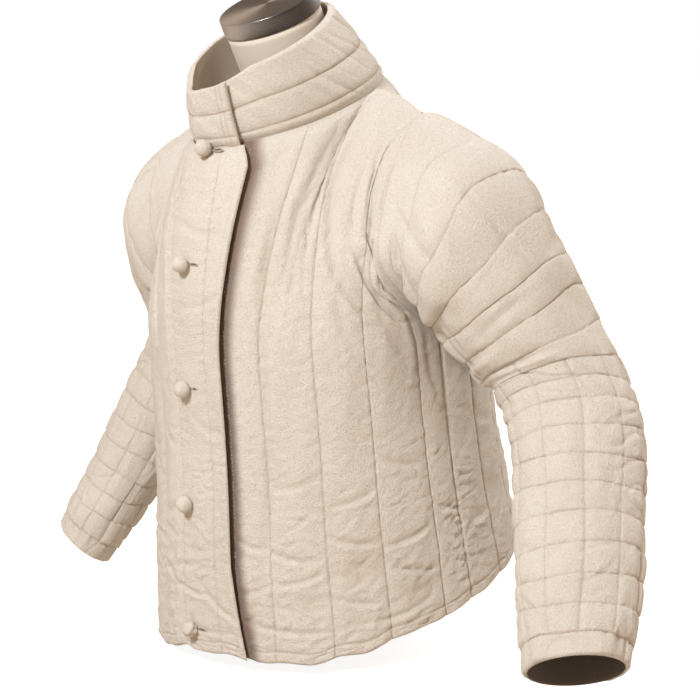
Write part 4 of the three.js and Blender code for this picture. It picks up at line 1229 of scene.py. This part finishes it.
        puff = self.padding(phi, at, ring, spoke, across, band, in_grid)
        detail = self.relief(phi, at, ring, spoke, band, in_grid)
        fold = sum((f.height(phi, at) for f in SLEEVE_FOLDS), np.zeros_like(at)) * seamed
        groove = 0.95 * bump(ring / 0.8) + 0.8 * in_grid * bump(spoke / 0.8) * (at < CUFF)
        thick = SEAM_WALL + (SLEEVE_WALL - SEAM_WALL) * seamed + (puff + detail - groove) * seamed
        thick = thick * edge_round(down[-1:] - down, 3.5) - TOP_DIP * bump(to_seam / 1.6)
        outer = base + normal * (fold + np.maximum(thick, 0.6))[..., None]
        inner = base + normal * fold[..., None]
        # the stitched lines' own darker tone, together with painted shade in their grooves
        seam = 0.8 * bump(ring / 0.8) + 0.6 * in_grid * bump(spoke / 0.8) * (at < CUFF)
        # painted shade beside the cross and lengthwise lines, at the armhole seam and in the troughs of the
        # folds
        hollow_shade = (0.35 * bump(ring / 3) + 0.3 * in_grid * bump(spoke / 3)
                  + 0.5 * bump(to_seam / 3) + np.clip(-0.3 * fold, 0, 1))
        marks = {"seam": np.clip(seam, 0, 1), "hollow_shade": np.clip(hollow_shade, 0, 1)}

        mirror = np.array([self.side, 1, 1])
        outer, facing, inner = outer * mirror, grid_normals(outer, True) * mirror, inner * mirror
        around = np.arange(len(phis) + 1) % len(phis)
        grid = slice(nearest(ats, ELBOW), nearest(ats, CUFF))
        paths = drawn(outer, facing, [(nearest(ats, line), around) for line in lines]
                      + [(grid, nearest(phis, turn)) for turn in range(0, 360, SPOKE)])
        inner = inner[::self.step, ::self.step]
        if self.side < 0:
            outer, inner = turned_back(outer), turned_back(inner)
            marks = {key: turned_back(mark) for key, mark in marks.items()}
        return Wall(outer, inner, marks, paths, ring=True)

    @staticmethod
    def around_waves(seed: int, most: int, phi: Array, at: Array) -> Array:
        """Sum of sin(n phi + k at + phase) for whole n up to most, so closed round the sleeve.

        Args:
            seed: Seed of the draw.
            most: Most waves round the sleeve.
            phi: Angles round it.
            at: Shares of its length.

        Returns:
            Heights of about -1 to 1.
        """
        draw = np.random.default_rng(seed)
        total = np.zeros_like(phi)
        for n in range(1, most + 1):
            k, phase = draw.uniform(8, 34), draw.uniform(0, 2 * math.pi)
            total += np.sin(n * np.radians(phi) + k * at + phase) / math.sqrt(n)
        return total / math.sqrt(most / 2 + 1)

    def relief(self, phi: Array, at: Array, ring: Array, spoke: Array, band: Array,
               in_grid: Array) -> Array:
        """Puckers at the lines, folds down the bands, rumpled boxes and an uneven cuff.

        Each is a sum of waves closed round the sleeve: short ones that differ from band to
        band and fade from the line as exp(-d / 9), and longer ones down the bands.

        Args:
            phi: Angles round the sleeve.
            at: Shares of its length.
            ring: Distances to the nearest cross line.
            spoke: Distances to the nearest lengthwise line.
            band: Numbers of the bands.
            in_grid: 1 in the grid, 0 in the bands above it.

        Returns:
            Heights over the wadding.
        """
        def waves(seed: int, low: int, high: int, k: float) -> Array:
            """Waves closed round the sleeve."""
            return self.closed_ripples(self.seed + seed, low, high, k, phi, at)

        above = 1 - in_grid
        short = self.closed_ripples(self.seed, 14, 46, 0.0, phi + band * 47.0, at)
        down = self.closed_ripples(self.seed + 3, 0, 5, 150.0, phi + 80 * np.floor(phi / SPOKE), at)
        puckers = 0.62 * short * np.exp(-ring / PUCKER_FADE) + 0.42 * in_grid * down * np.exp(-spoke / 8)
        folds = 1.1 * waves(1, 5, 18, 14.0) * above * smooth(ring / 10)
        rumple = 0.55 * waves(2, 6, 24, 60.0) * in_grid
        cuff = 1.0 * waves(4, 4, 22, 40.0) * smooth((at - 0.93) / 0.05)
        broad = 1.5 * waves(6, 2, 6, 26.0) * smooth(at / 0.1)
        patch = smooth(0.1 + 1.4 * waves(13, 2, 5, 26.0))
        inner_side = 1 + 0.7 * bump((np.mod(phi, 360) - 120) / 60)
        lengthwise = 2.2 * inner_side * patch * crease(waves(11, 4, 10, 9.0)) * above * smooth(at / 0.06)
        across = 1.7 * smooth(0.4 - waves(14, 1, 5, 40.0)) * crease(waves(12, 2, 6, 90.0)) * in_grid
        return puckers + folds + rumple + cuff + broad + lengthwise + across

    @staticmethod
    def closed_ripples(seed: int, low: int, high: int, k: float, phi: Array, at: Array) -> Array:
        """Sum of sin(n phi + m at + phase), n whole from low to high and m up to k either way.

        Args:
            seed: Seed of the draw.
            low: Fewest waves round the sleeve.
            high: Most waves round it.
            k: Steepest change along it.
            phi: Angles round it.
            at: Shares of its length.

        Returns:
            Heights of about -1 to 1.
        """
        draw = np.random.default_rng(seed)
        total = np.zeros_like(phi)
        for n in draw.integers(low, high + 1, 8):
            m, phase = draw.uniform(-k, k), draw.uniform(0, 2 * math.pi)
            total += np.sin(n * np.radians(phi) + m * at + phase)
        return total / 4


# ---- collar --------------------------------------------------------------------------------
COLLAR_LIFT = np.array([[-8, 0], [325, 0], [350, 8], [372, 8.6], [384, 12.5]])
COLLAR_DROOP = np.array([[-8, 14], [10, 11], [24, 7], [42, 0], [270, 3], [300, 7], [318, 19],
                         [350, 16], [384, 10.0]])
COLLAR_ROWS = (0.14, 0.52)   # stitched rows, shares of the height
END_ROWS = (7.0, 12.0)       # and from the end that laps over


@dataclass
class Collar(Cloth):
    """The standing collar, its right end lapping over its left end in front."""
    name: str = "collar_cloth"
    columns: int = 400
    rows: int = 72

    def wall(self) -> Wall:
        """The collar's two faces, marks and stitched lines.

        A point of the base is between the neckline and the drooping top oval by its share,
        plus a bulge of 2 sin(pi share) outwards. The wall has two stitched rows, a double
        row at its outer end, fine wrinkles and a rolled top edge.
        """
        alphas = spaced(-8, 384, self.columns, (), near=2.0, ends=3.0)
        shares = spaced(0, 1, self.rows, COLLAR_ROWS, near=0.03, boost=1.6, ends=2.5)
        alpha, share = np.meshgrid(alphas, shares)
        s, c = np.sin(np.radians(alpha)), np.cos(np.radians(alpha))
        rim, low = COLLAR_TOP.point(alpha), NECKLINE.point(alpha)
        rim[..., 2] -= np.interp(alpha, COLLAR_DROOP[:, 0], COLLAR_DROOP[:, 1])
        bulge = vector(s, -c, 0) * (2 * np.sin(math.pi * share))[..., None]
        base = low + (rim - low) * share[..., None] + bulge
        start = neckline_normal(alpha)
        normal = unit(start + (unit(vector(s, -c, 0.1)) - start) * smooth(3 * share)[..., None])
        up = running(base)
        total = up[-1:]
        line = np.minimum(*(np.abs(up - place * total) for place in COLLAR_ROWS))
        run = np.broadcast_to(running(base[len(shares) // 2]), alpha.shape)
        from_end = run[:, -1:] - run
        lift = np.interp(alpha, COLLAR_LIFT[:, 0], COLLAR_LIFT[:, 1])

        swell = 1 - np.exp(-(line / 4.0) ** 1.5)
        thick = SEAM_WALL + (COLLAR_WALL - SEAM_WALL) * smooth(up / 8) + 1.6 * swell * smooth(up / 14)
        thick = thick + 0.7 * Ripples(41, 14, 50, stretch=2.2)(run + 0.8 * up, up) * smooth(up / 20)
        slack = crease(Ripples(43, 40, 100, stretch=2.0)(run + 1.1 * up, up))
        thick = thick + 0.9 * slack * smooth(up / 12)
        thick = thick + 0.3 * Ripples(42, 9, 24)(run, up * 0.2) * np.exp(-line / 7) - 0.9 * bump(line / 0.9)
        double = sum(bump((from_end - place) / 0.9) for place in END_ROWS)
        thick = thick - 0.7 * double * smooth(up / 6) * smooth((total - up) / 5)
        thick = thick * edge_round(total - up, 4.5) * edge_round(from_end, 3.0) * edge_round(run, 3.0)
        thick = np.maximum(thick - 1.2 * bump(up / 2.5), 0.6)
        outer = base + normal * (lift + thick)[..., None]
        inner = base + normal * lift[..., None]
        # the stitched rows' own darker tone, together with painted shade in their grooves
        marks = {"seam": np.clip(bump(line / 1.1) + double, 0, 1),
                 # painted shade beside the stitched rows, at the collar's foot and at the double row
                 "hollow_shade": np.clip(bump(line / 4.5) + 0.8 * bump(up / 5) + 0.6 * double, 0, 1)}
        places = [(nearest(shares, place), slice(3, -3)) for place in COLLAR_ROWS]
        places += [(slice(6, -8), nearest(from_end[0], place)) for place in END_ROWS]
        return Wall(outer, inner[::self.step, ::self.step], marks,
                    drawn(outer, grid_normals(outer, False), places))


# ---- dress form and neck cap ---------------------------------------------------------------
FORM_SECTIONS = np.array([   # z, half width, depth in front, behind, middle, forward tilt
    [-18, 98, 88, 86, -5, 0], [-14, 108, 98, 96, -5, 0], [0, 124, 110, 106, -5, 0],
    [60, 146, 120, 118, -5, 0], [180, 138, 110, 104, -5, 0], [320, 160, 128, 116, -2, 0],
    [420, 162, 126, 126, 4, 0], [490, 156, 100, 112, 12, 2], [530, 142, 70, 84, 20, 4],
    [558.1, 120, 50, 60, 24, 6], [576.1, 88, 46, 48, 20, 10], [594, 64, 50, 50, 8, 16],
    [620, 56, 54, 54, -6, 20], [682, 55, 55, 55, -30, 20.0]])


def form_rings(sections: Array, columns: int) -> Array:
    """Rings of tilted ovals, one for each section.

    Args:
        sections: z, half width, depth in front, behind, middle and tilt of each.
        columns: Points to a ring.

    Returns:
        Rings, columns, 3.
    """
    alpha = np.radians(np.linspace(0, 360, columns, endpoint=False))
    s, c = np.sin(alpha), np.cos(alpha)
    z, half, front, back, mid, tilt = (sections[:, k:k + 1] for k in range(6))
    run = np.where(c > 0, front, back) * c
    tilt = np.radians(tilt)
    return vector(half * s, mid - run * np.cos(tilt), z - run * np.sin(tilt))


def loft(rings: Array) -> tuple[Array, Array, Array]:
    """Points, quads and end triangles of a closed solid through stacked rings.

    Each end is closed by a middle point.

    Args:
        rings: Rings, columns, 3.

    Returns:
        Points in metres above the floor, quads and triangles.
    """
    rows, columns = rings.shape[0] - 1, rings.shape[1]
    r, c = grid_quads(rows, columns)
    quads = r * columns + c % columns
    points = np.concatenate([rings.reshape(-1, 3), rings[:1].mean(axis=1), rings[-1:].mean(axis=1)])
    j = np.arange(columns)
    low, top = len(points) - 2, len(points) - 1
    bottom = np.stack([np.full_like(j, low), (j + 1) % columns, j], axis=-1)
    last = rows * columns
    lid = np.stack([np.full_like(j, top), last + j, last + (j + 1) % columns], axis=-1)
    return in_frame(points), quads, np.concatenate([bottom, lid])


def closed_loft(name: str, rings: Array) -> bpy.types.Object:
    """A closed solid through stacked rings as a piece."""
    points, quads, ends = loft(rings)
    return build_mesh(name, points, [quads, ends])


@dataclass
class DressForm:
    """The limbless form in its cover, and the steel cap on its neck."""
    columns: int = 96
    rows: int = 120
    cap_radius: float = 56.5
    cap_thick: float = 20.0
    cap_tilt: float = 20.0
    cap_bevel: float = 1.6

    def make_body(self) -> bpy.types.Object:
        """The covered form: smooth curves up through its sections."""
        z = np.interp(np.linspace(0, 1, self.rows + 1), np.linspace(0, 1, len(FORM_SECTIONS)),
                      FORM_SECTIONS[:, 0])
        table = spline(FORM_SECTIONS[:, 0], FORM_SECTIONS[:, 1:], z)
        return closed_loft("form_cover", form_rings(np.column_stack([z, table]), self.columns))

    def make_cap(self) -> bpy.types.Object:
        """The cap: a disc with rounded edges, standing square on the tilted neck."""
        seat = FORM_SECTIONS[-1]
        turn = np.radians(np.linspace(0, 90, 6))
        r_low = self.cap_radius - self.cap_bevel * (1 - np.sin(turn))
        up_low = self.cap_bevel * (1 - np.cos(turn))
        lid = np.linspace(0.15, 0.985, 7)[::-1] * (self.cap_radius - self.cap_bevel)
        radius = np.concatenate([r_low, r_low[::-1], lid])
        up = np.concatenate([up_low, self.cap_thick - up_low[::-1], np.full(len(lid), self.cap_thick)])
        tilt = math.radians(self.cap_tilt)
        axis = np.array([0, -math.sin(tilt), math.cos(tilt)])
        table = np.column_stack([np.full(len(radius), seat[0]), radius, radius, radius,
                                 np.full(len(radius), seat[4]), np.full(len(radius), self.cap_tilt)])
        rings = form_rings(table, 128) + (up + 0.3)[:, None, None] * axis
        return closed_loft("cap_steel", rings)


# ---- buttons -------------------------------------------------------------------------------
@dataclass
class Buttons:
    """Cloth-covered ball buttons down the flap."""
    radius: float = 9.2
    base: float = 4.4
    slit_long: float = 5.6
    slit_wide: float = 1.1
    slit_at: tuple[float, float] = (3.3, 0.5)    # from its button
    slit_rings: tuple[tuple[float, float, float], ...] = (   # shares of length and width, height
        (1.2, 1.8, -0.6), (1.25, 1.9, 0.2), (1.12, 1.45, 0.8), (1.0, 1.0, 0.5),
        (0.6, 0.6, 0.3), (0.2, 0.2, 0.25))
    slit_shades: tuple[float, ...] = (0.0, 0.0, 0.15, 0.9, 1.0, 1.0)
    places: tuple[tuple[float, float], ...] = (              # body angle, height
        (0.8, 546), (-2, 430), (-4.3, 295), (-6.3, 164), (-4.7, 25))

    def seat(self, theta: float, z: float) -> tuple[Array, Array, Array, Array]:
        """Point on the flap's outer surface at a height, and its ways out, aside and up.

        Args:
            theta: Body angle.
            z: Height.

        Returns:
            The point and three unit vectors.
        """
        shares = np.linspace(0, 2, 2001)
        heights = body_surface(np.full_like(shares, theta), shares)[:, 2]
        share = np.interp(z, heights, shares)
        point = body_surface(theta, share)
        across = body_surface(theta + .4, share) - body_surface(theta - .4, share)
        up = body_surface(theta, min(2, share + .01)) - body_surface(theta, share - .01)
        normal = unit(np.cross(across, up))
        side = unit(np.cross([0, 0, 1.0], normal))
        lift = np.interp(theta, FLAP_LIFT[:, 0], FLAP_LIFT[:, 1]) + PANEL_WALL + 0.6
        return point + normal * lift, normal, side, np.cross(normal, side)

    def make(self) -> list[bpy.types.Object]:
        """The buttons: balls on their seats with gathered covers, the last one a loose knot.

        A cover's radius is the ball's times 1 plus waves of sin(3 turn) and sin(7 turn).
        """
        made = []
        low = math.sqrt(self.radius ** 2 - self.base ** 2)
        turn, rise = np.meshgrid(np.linspace(0, 2 * math.pi, 40, endpoint=False),
                                 np.linspace(math.atan2(-low, self.base), math.pi / 2, 26)[:-1])
        for number, (theta, z) in enumerate(self.places, 1):
            point, normal, side, top = self.seat(theta, z)
            knot = 5.0 if number == len(self.places) else 1.0
            wobble = 1 - 0.03 * (knot - 1) + knot * (
                0.018 * np.sin(3 * turn + number + knot * rise) * np.cos(rise)
                + 0.012 * np.sin(7 * turn + 2 * number) * smooth(1 - rise))
            radius = self.radius * np.cos(rise) * wobble
            up = low + self.radius * np.sin(rise) * wobble
            made.append(closed_loft(f"ball_{number}", point + radius[..., None] * (
                np.cos(turn)[..., None] * side + np.sin(turn)[..., None] * top) + up[..., None] * normal))
        return made

    def make_slits(self) -> bpy.types.Object:
        """The slit beside each button: a dip darkened with painted shade, with a sewn lip round it, as one
        closed mesh.
        """
        t = np.radians(np.linspace(0, 360, 28, endpoint=False))[:, None]
        points, quads, ends, count = [], [], [], 0
        for theta, z in self.places:
            middle, normal, side, top = self.seat(theta + self.slit_at[0], z + self.slit_at[1])
            own, own_quads, own_ends = loft(np.stack([
                middle + self.slit_long * long * np.cos(t) * side
                + self.slit_wide * wide * np.sin(t) * top + up * normal
                for long, wide, up in self.slit_rings]))
            points.append(own)
            quads.append(own_quads + count)
            ends.append(own_ends + count)
            count += len(own)
        # painted shade, deepest in the slit's dip
        shade = np.concatenate([np.repeat(self.slit_shades, len(t)), [0.0, 1.0]])
        return build_mesh("button_slits", np.concatenate(points),
                          [np.concatenate(quads), np.concatenate(ends)],
                          marks={"shade": np.tile(shade, len(self.places))})


# ---- finishes ------------------------------------------------------------------------------
class Value:
    """A socket whose sums and products add Math nodes."""

    def __init__(self, graph: "Graph", socket: bpy.types.NodeSocket):
        """Wraps a socket of a graph."""
        self.graph = graph
        self.socket = socket

    def maths(self, operation: str, *numbers: object) -> "Value":
        """One Math node."""
        return self.graph.node("ShaderNodeMath", {"operation": operation}, dict(enumerate(numbers)))

    def other(self, output: str) -> "Value":
        """Another output of the same node."""
        return Value(self.graph, self.socket.node.outputs[output])

    def __add__(self, other: object) -> "Value":
        """self + other."""
        return self.maths("ADD", self, other)

    __radd__ = __add__

    def __mul__(self, other: object) -> "Value":
        """self * other."""
        return self.maths("MULTIPLY", self, other)

    __rmul__ = __mul__

    def __sub__(self, other: object) -> "Value":
        """self - other."""
        return self.maths("SUBTRACT", self, other)

    def __rsub__(self, other: object) -> "Value":
        """other - self."""
        return self.maths("SUBTRACT", other, self)

    def __pow__(self, other: object) -> "Value":
        """self to a power."""
        return self.maths("POWER", self, other)

    def over(self, edge: float, width: float) -> "Value":
        """0 below the edge, 1 above it by width, straight between."""
        return self.graph.node("ShaderNodeMapRange", {}, {
            "Value": self, "From Min": edge, "From Max": edge + width})


class Graph:
    """The nodes of one material or world."""

    def __init__(self, owner: Union[bpy.types.Material, bpy.types.World], kind: str = "Material"):
        """Leaves its output node alone in the owner's tree."""
        self.owner = owner
        owner.use_nodes = True
        self.tree = owner.node_tree
        self.tree.nodes.clear()
        self.out = self.tree.nodes.new(f"ShaderNodeOutput{kind}")

    @classmethod
    def material(cls, name: str) -> "Graph":
        """The graph of a new material."""
        return cls(bpy.data.materials.new(name))

    def node(self, kind: str, settings: dict, inputs: dict, output: Union[int, str] = 0) -> Value:
        """Adds a node.

        Args:
            kind: Type of the node.
            settings: Its properties, set first.
            inputs: Values or links of its sockets, by name or number; a tuple is a colour.
            output: The socket that is handed back.

        Returns:
            The output, wrapped.
        """
        made = self.tree.nodes.new(kind)
        for key, setting in settings.items():
            setattr(made, key, setting)
        for key, value in inputs.items():
            socket = made.inputs[key]
            if isinstance(value, Value):
                self.tree.links.new(value.socket, socket)
            else:
                socket.default_value = (*value, 1) if isinstance(value, tuple) else value
        return Value(self, made.outputs[output])

    def mix(self, factor: object, first: object, second: object) -> Value:
        """Colour between two colours."""
        return self.node("ShaderNodeMix", {"data_type": "RGBA"}, {
            0: factor, 6: first, 7: second}, 2)

    def place(self, output: str = "Object") -> Value:
        """Coordinates on the piece."""
        return self.node("ShaderNodeTexCoord", {}, {}, output)

    def noise(self, where: Value, scale: float, detail: float, stretch: Sequence[float] = (1, 1, 1),
              rough: float = 0.5) -> Value:
        """Noise between 0 and 1 on stretched coordinates."""
        moved = self.node("ShaderNodeMapping", {}, {"Vector": where, "Scale": Vector(stretch)})
        return self.node("ShaderNodeTexNoise", {}, {
            "Vector": moved, "Scale": scale, "Detail": detail, "Roughness": rough})

    def attribute(self, name: str) -> Value:
        """A point attribute as a number."""
        return self.node("ShaderNodeAttribute", {"attribute_name": name}, {}, "Fac")

    def relief(self, strength: float, distance: float, height: Value) -> Value:
        """A bumped normal."""
        return self.node("ShaderNodeBump", {}, {
            "Strength": strength, "Distance": distance, "Height": height})

    def surface(self, shader: Value) -> None:
        """Sends a shader to the output."""
        self.tree.links.new(shader.socket, self.out.inputs["Surface"])

    def finish(self, colour: object, roughness: object, settings: dict) -> bpy.types.Material:
        """The material, with its other links and even numbers on the shader's own sockets."""
        self.surface(self.node("ShaderNodeBsdfPrincipled", {}, {
            "Base Color": colour, "Roughness": roughness, **settings}))
        return self.owner


@dataclass(frozen=True)
class QuiltedCotton:
    """Natural cotton with slubs, seed flecks and a soft nap; painted shade makes it browner in its stitched
    grooves and creases and darkens it under the flap, and its inside is painted with light and shade.
    """
    name: str = "quilted_cotton"
    light: Colour = (0.83, 0.78, 0.672)
    warm: Colour = (0.68, 0.595, 0.48)
    # darker tone of the stitched lines, partly painted shade in their grooves
    groove: Colour = (0.46, 0.335, 0.235)
    fleck: Colour = (0.30, 0.22, 0.15)
    # painted shade: the plain inside of the body and sleeves is painted dark for the shade within them
    inside_light_and_shade: Colour = (0.20, 0.165, 0.13)
    # colour of the painted shadow under the flap's edge, below the armholes and in the button slits
    painted_shade_colour: Colour = (0.19, 0.105, 0.06)
    quilted: bool = True

    def make(self) -> bpy.types.Material:
        """The material: threads and slubs from flat coordinates, the rest from the object's own."""
        g = Graph.material(self.name)
        where = g.place()
        flat = g.place("UV") if self.quilted else where
        warp = g.noise(flat, 1000, 2, (1, 0.22, 1))
        weft = g.noise(flat, 1000, 2, (0.22, 1, 1))
        cloud = g.noise(where, 11, 3)
        mottle = g.noise(where, 560, 3, rough=0.8)
        grain = g.noise(where, 420, 3, rough=0.7)
        specks = g.noise(where, 620, 1).over(0.68, 0.05)
        tone = cloud * 0.22 + warp * 0.18 + weft * 0.18 + mottle * 0.72
        colour = g.mix(tone.over(0.52, 0.26), self.light, self.warm)
        slub = (warp.over(0.62, 0.12) + weft.over(0.64, 0.12)) * 0.3
        colour = g.mix(slub, colour, self.light)
        colour = g.mix(specks * 0.5, colour, self.fleck)
        if self.quilted:
            seam, hollow_shade = g.attribute("seam"), g.attribute("hollow_shade")
            # painted shade: the grooves and troughs are browned towards the warm colour
            colour = g.mix(hollow_shade * (0.15 + grain * 0.5), colour, self.warm)
            # the stitched lines' own darker tone, partly painted shade in their grooves
            colour = g.mix(seam * (0.05 + grain * 0.45), colour, self.groove)
            # painted light and shade on the inner face
            colour = g.mix(g.attribute("inside"), colour, self.inside_light_and_shade)
        # painted shade and shadow from the shade mark
        colour = g.mix(g.attribute("shade"), colour, self.painted_shade_colour)
        height = warp * 0.5 + weft * 0.5 + grain * 0.6 + mottle * 1.6
        return g.finish(colour, 0.92, {
            "Normal": g.relief(0.8, 0.0018, height), "Sheen Weight": 0.22, "Sheen Roughness": 0.6,
            "Specular IOR Level": 0.25})


@dataclass(frozen=True)
class SewingThread:
    """Cotton thread, a little darker than the cloth it is sewn through."""
    name: str = "sewing_thread"
    light: Colour = (0.78, 0.69, 0.57)
    dark: Colour = (0.52, 0.43, 0.33)

    def make(self) -> bpy.types.Material:
        """Two tones that change from stitch to stitch."""
        g = Graph.material(self.name)
        where = g.place()
        tone = g.noise(where, 240, 2)
        return g.finish(g.mix(tone, self.light, self.dark), 0.8, {"Specular IOR Level": 0.3})


@dataclass(frozen=True)
class FormCover:
    """The form's close cotton cover."""
    name: str = "form_cover"
    light: Colour = (0.80, 0.72, 0.60)
    warm: Colour = (0.70, 0.61, 0.49)

    def make(self) -> bpy.types.Material:
        """A fine plain weave with soft clouds."""
        g = Graph.material(self.name)
        where = g.place()
        cloud = g.noise(where, 14, 3)
        fine = g.noise(where, 1100, 2)
        colour = g.mix(cloud * 0.6 + fine * 0.4, self.light, self.warm)
        return g.finish(colour, 0.9, {
            "Normal": g.relief(0.35, 0.0004, fine), "Sheen Weight": 0.15, "Specular IOR Level": 0.25})


@dataclass(frozen=True)
class BrushedSteel:
    """Turned steel, brushed round its middle, with light and dark sectors of painted reflection."""
    name: str = "neck_steel"
    centre: tuple[float, float, float] = (0.0, -0.0368, 0.7188)
    tilt: float = 20.0
    # painted reflection: the dark and light ends of the sectors' colour
    dark: Colour = (0.06, 0.056, 0.052)
    reflected_light: Colour = (0.80, 0.79, 0.77)

    def make(self) -> bpy.types.Material:
        """Fine rings about the cap's axis, and sectors of painted reflection by the angle round it."""
        g = Graph.material(self.name)
        where = g.place()
        moved = g.node("ShaderNodeMapping", {"vector_type": "TEXTURE"}, {
            "Vector": where, "Location": Vector(self.centre),
            "Rotation": Vector((math.radians(self.tilt), 0, 0))})
        x = g.node("ShaderNodeSeparateXYZ", {}, {0: moved}, "X")
        y, z = x.other("Y"), x.other("Z")
        angle = x.maths("ARCTAN2", x, y)
        radius = x.maths("SQRT", x * x + y * y)
        # painted reflection, light and dark by the angle round the cap
        painted_reflection = x.maths("SINE", angle * 2 + 0.9) * 0.5 + 0.5
        rings = g.node("ShaderNodeTexNoise", {"noise_dimensions": "2D"}, {
            "Vector": g.node("ShaderNodeCombineXYZ", {}, {"X": radius * 1600 + z * 1600, "Y": angle * 0.7}),
            "Scale": 1.0, "Detail": 2.0})
        colour = g.mix(painted_reflection ** 2.2 * 0.8 + rings * 0.2, self.dark, self.reflected_light)
        return g.finish(colour, 0.24 + rings * 0.2, {
            "Normal": g.relief(0.25, 0.0002, rings), "Metallic": 1.0})


# ---- studio --------------------------------------------------------------------------------
class Lamp(Enum):
    """Soft lights round the object: place, size, power and colour."""
    KEY = ((0.8, -2.6, 2.6), 0.55, 108.0, (0.94, 1.0, 1.09))
    TOP = ((0.6, -0.4, 3.2), 2.0, 10.0, (0.95, 1.0, 1.03))
    BACK = ((0.3, 3.0, 2.1), 1.5, 84.0, (0.93, 1.0, 1.09))


@dataclass
class Studio:
    """Pale floor, soft light and the camera."""
    azimuth: float = 46.0
    elevation: float = 10.5
    roll: float = 5.0
    distance: float = 2.7
    lens: float = 2350 * 36 / 700
    aim_height: float = 0.317
    aim_right: float = 0.0315
    room_level: float = 0.50             # light of the surroundings, and its colour
    room: Colour = (1, 0.74, 0.56)
    ground: Colour = (0.60, 0.52, 0.44)
    ground_half: float = 6.0
    glow: float = 0.9
    lit_height: float = 0.35             # the lamps face this point above the origin

    def camera(self) -> None:
        """The camera on its sphere round the aim, rolled about its own axis."""
        a, e, r = (math.radians(x) for x in (self.azimuth, self.elevation, self.roll))
        back = np.array([math.sin(a) * math.cos(e), -math.cos(a) * math.cos(e), math.sin(e)])
        right = np.array([math.cos(a), math.sin(a), 0])
        up = np.cross(back, right)
        place = np.array([0, 0, self.aim_height]) + right * self.aim_right + back * self.distance
        across = math.cos(r) * right - math.sin(r) * up
        upward = math.sin(r) * right + math.cos(r) * up
        data = bpy.data.cameras.new("view")
        data.lens, data.sensor_width = self.lens, 36.0
        data.clip_start, data.clip_end = 0.05, 50
        camera = bpy.data.objects.new("view", data)
        turn = Matrix(np.column_stack([across, upward, back]).tolist()).to_4x4()
        camera.matrix_world = Matrix.Translation(Vector(place)) @ turn
        bpy.context.scene.collection.objects.link(camera)
        bpy.context.scene.camera = camera

    def light(self) -> None:
        """Surroundings that look white and light warmly, and three lamps that face the object."""
        world = bpy.data.worlds.new("white_room")
        bpy.context.scene.world = world
        graph = Graph(world, "World")
        seen = graph.node("ShaderNodeLightPath", {}, {}, "Is Camera Ray")
        level = graph.node("ShaderNodeMapRange", {}, {
            "Value": seen, "To Min": self.room_level, "To Max": 1.0})
        graph.surface(graph.node("ShaderNodeBackground", {}, {
            "Strength": level, "Color": graph.mix(seen, self.room, (1, 1, 1))}))
        for lamp in Lamp:
            place, size, power, colour = lamp.value
            data = bpy.data.lights.new(lamp.name.lower(), "AREA")
            data.size, data.energy, data.shape, data.color = size, power, "DISK", colour
            piece = bpy.data.objects.new(lamp.name.lower(), data)
            piece.location = place
            piece.rotation_mode = "QUATERNION"
            away = Vector(place) - Vector((0, 0, self.lit_height))
            piece.rotation_quaternion = away.to_track_quat("Z", "Y")
            bpy.context.scene.collection.objects.link(piece)

    def floor(self) -> None:
        """A wide pale floor that glows to the eye alone."""
        graph = Graph.material("pale_floor")
        seen = graph.node("ShaderNodeLightPath", {}, {}, "Is Camera Ray")
        material = graph.finish(self.ground, 0.8, {
            "Specular IOR Level": 0.1, "Emission Color": graph.mix(seen, (0, 0, 0), (1, 1, 1)),
            "Emission Strength": self.glow})
        corners = np.array([[-1, -1, 0], [1, -1, 0], [1, 1, 0], [-1, 1, 0]]) * self.ground_half
        floor = build_mesh("floor", corners, [np.array([[0, 1, 2, 3]])])
        floor.data.materials.append(material)
        bpy.context.scene.view_settings.view_transform = "Standard"


# ---- the whole -----------------------------------------------------------------------------
def main() -> None:
    """Builds the studio, the form and the jacket."""
    logging.basicConfig(level=logging.INFO, format="%(message)s")
    studio = Studio()
    studio.camera()
    studio.light()
    studio.floor()
    cotton, cover, steel = QuiltedCotton().make(), FormCover().make(), BrushedSteel().make()
    ball = QuiltedCotton(name="ball_cotton", quilted=False).make()

    form = DressForm()
    carry(form.make_body(), "dress_form", cover)
    carry(form.make_cap(), "neck_cap", steel)

    panels = (
        (BodyPanel("left_front_cloth", -7, 90, 188, 336, SIDE_LINES, 3, seam_high=True,
                   folds=(*CHEST_FOLDS, *LOW_FOLDS, GAP_FOLD)), "left_front",
         (0.33, 0.62), 0.17),
        (BodyPanel("right_front_cloth", -90, 12, 200, 344,
                   (-79.0, -60.0, -43.0, -25.0, -10.0, 5.0), 11, flap=True, seam_low=True, sag=12.0,
                   folds=(*FLAP_FOLDS, *other_side(CHEST_FOLDS[1:]), *other_side(LOW_FOLDS[:12]))),
         "right_front", (0.37, 0.62), 0.19),
        (BodyPanel("back_cloth", 90, 270, 240, 300,
                   (*BACK_LINES, 199.0, 218.0, 236.0, 254.0), 17, seam_low=True, seam_high=True,
                   folds=BACK_FOLDS),
         "back", (0.66, 0.62), 0.31),
    )
    thread = SewingThread().make()
    for panel, node, flat, area in panels:
        piece, stitches = panel.make(node, cotton, thread)
    for name, node, sections, side, seed in (
            ("left_sleeve_cloth", "left_sleeve", LEFT_SECTIONS, 1.0, 23),
            ("right_sleeve_cloth", "right_sleeve", RIGHT_SECTIONS, -1.0, 31)):
        piece, stitches = Sleeve(name, sections, side, seed).make(node, cotton, thread)
    # a copy of the cotton whose inside is painted pale, as painted light inside the collar
    collar_lit_inside = QuiltedCotton(name="collar_cotton_lit_inside", inside_light_and_shade=(0.85, 0.74, 0.60)).make()
    piece, stitches = Collar().make("collar", collar_lit_inside, thread)
    buttons = Buttons()
    dress(buttons.make_slits(), ball)
    for number, piece in enumerate(buttons.make(), 1):
        carry(piece, f"button_{number}", ball)


if __name__ == "__main__":
    main()
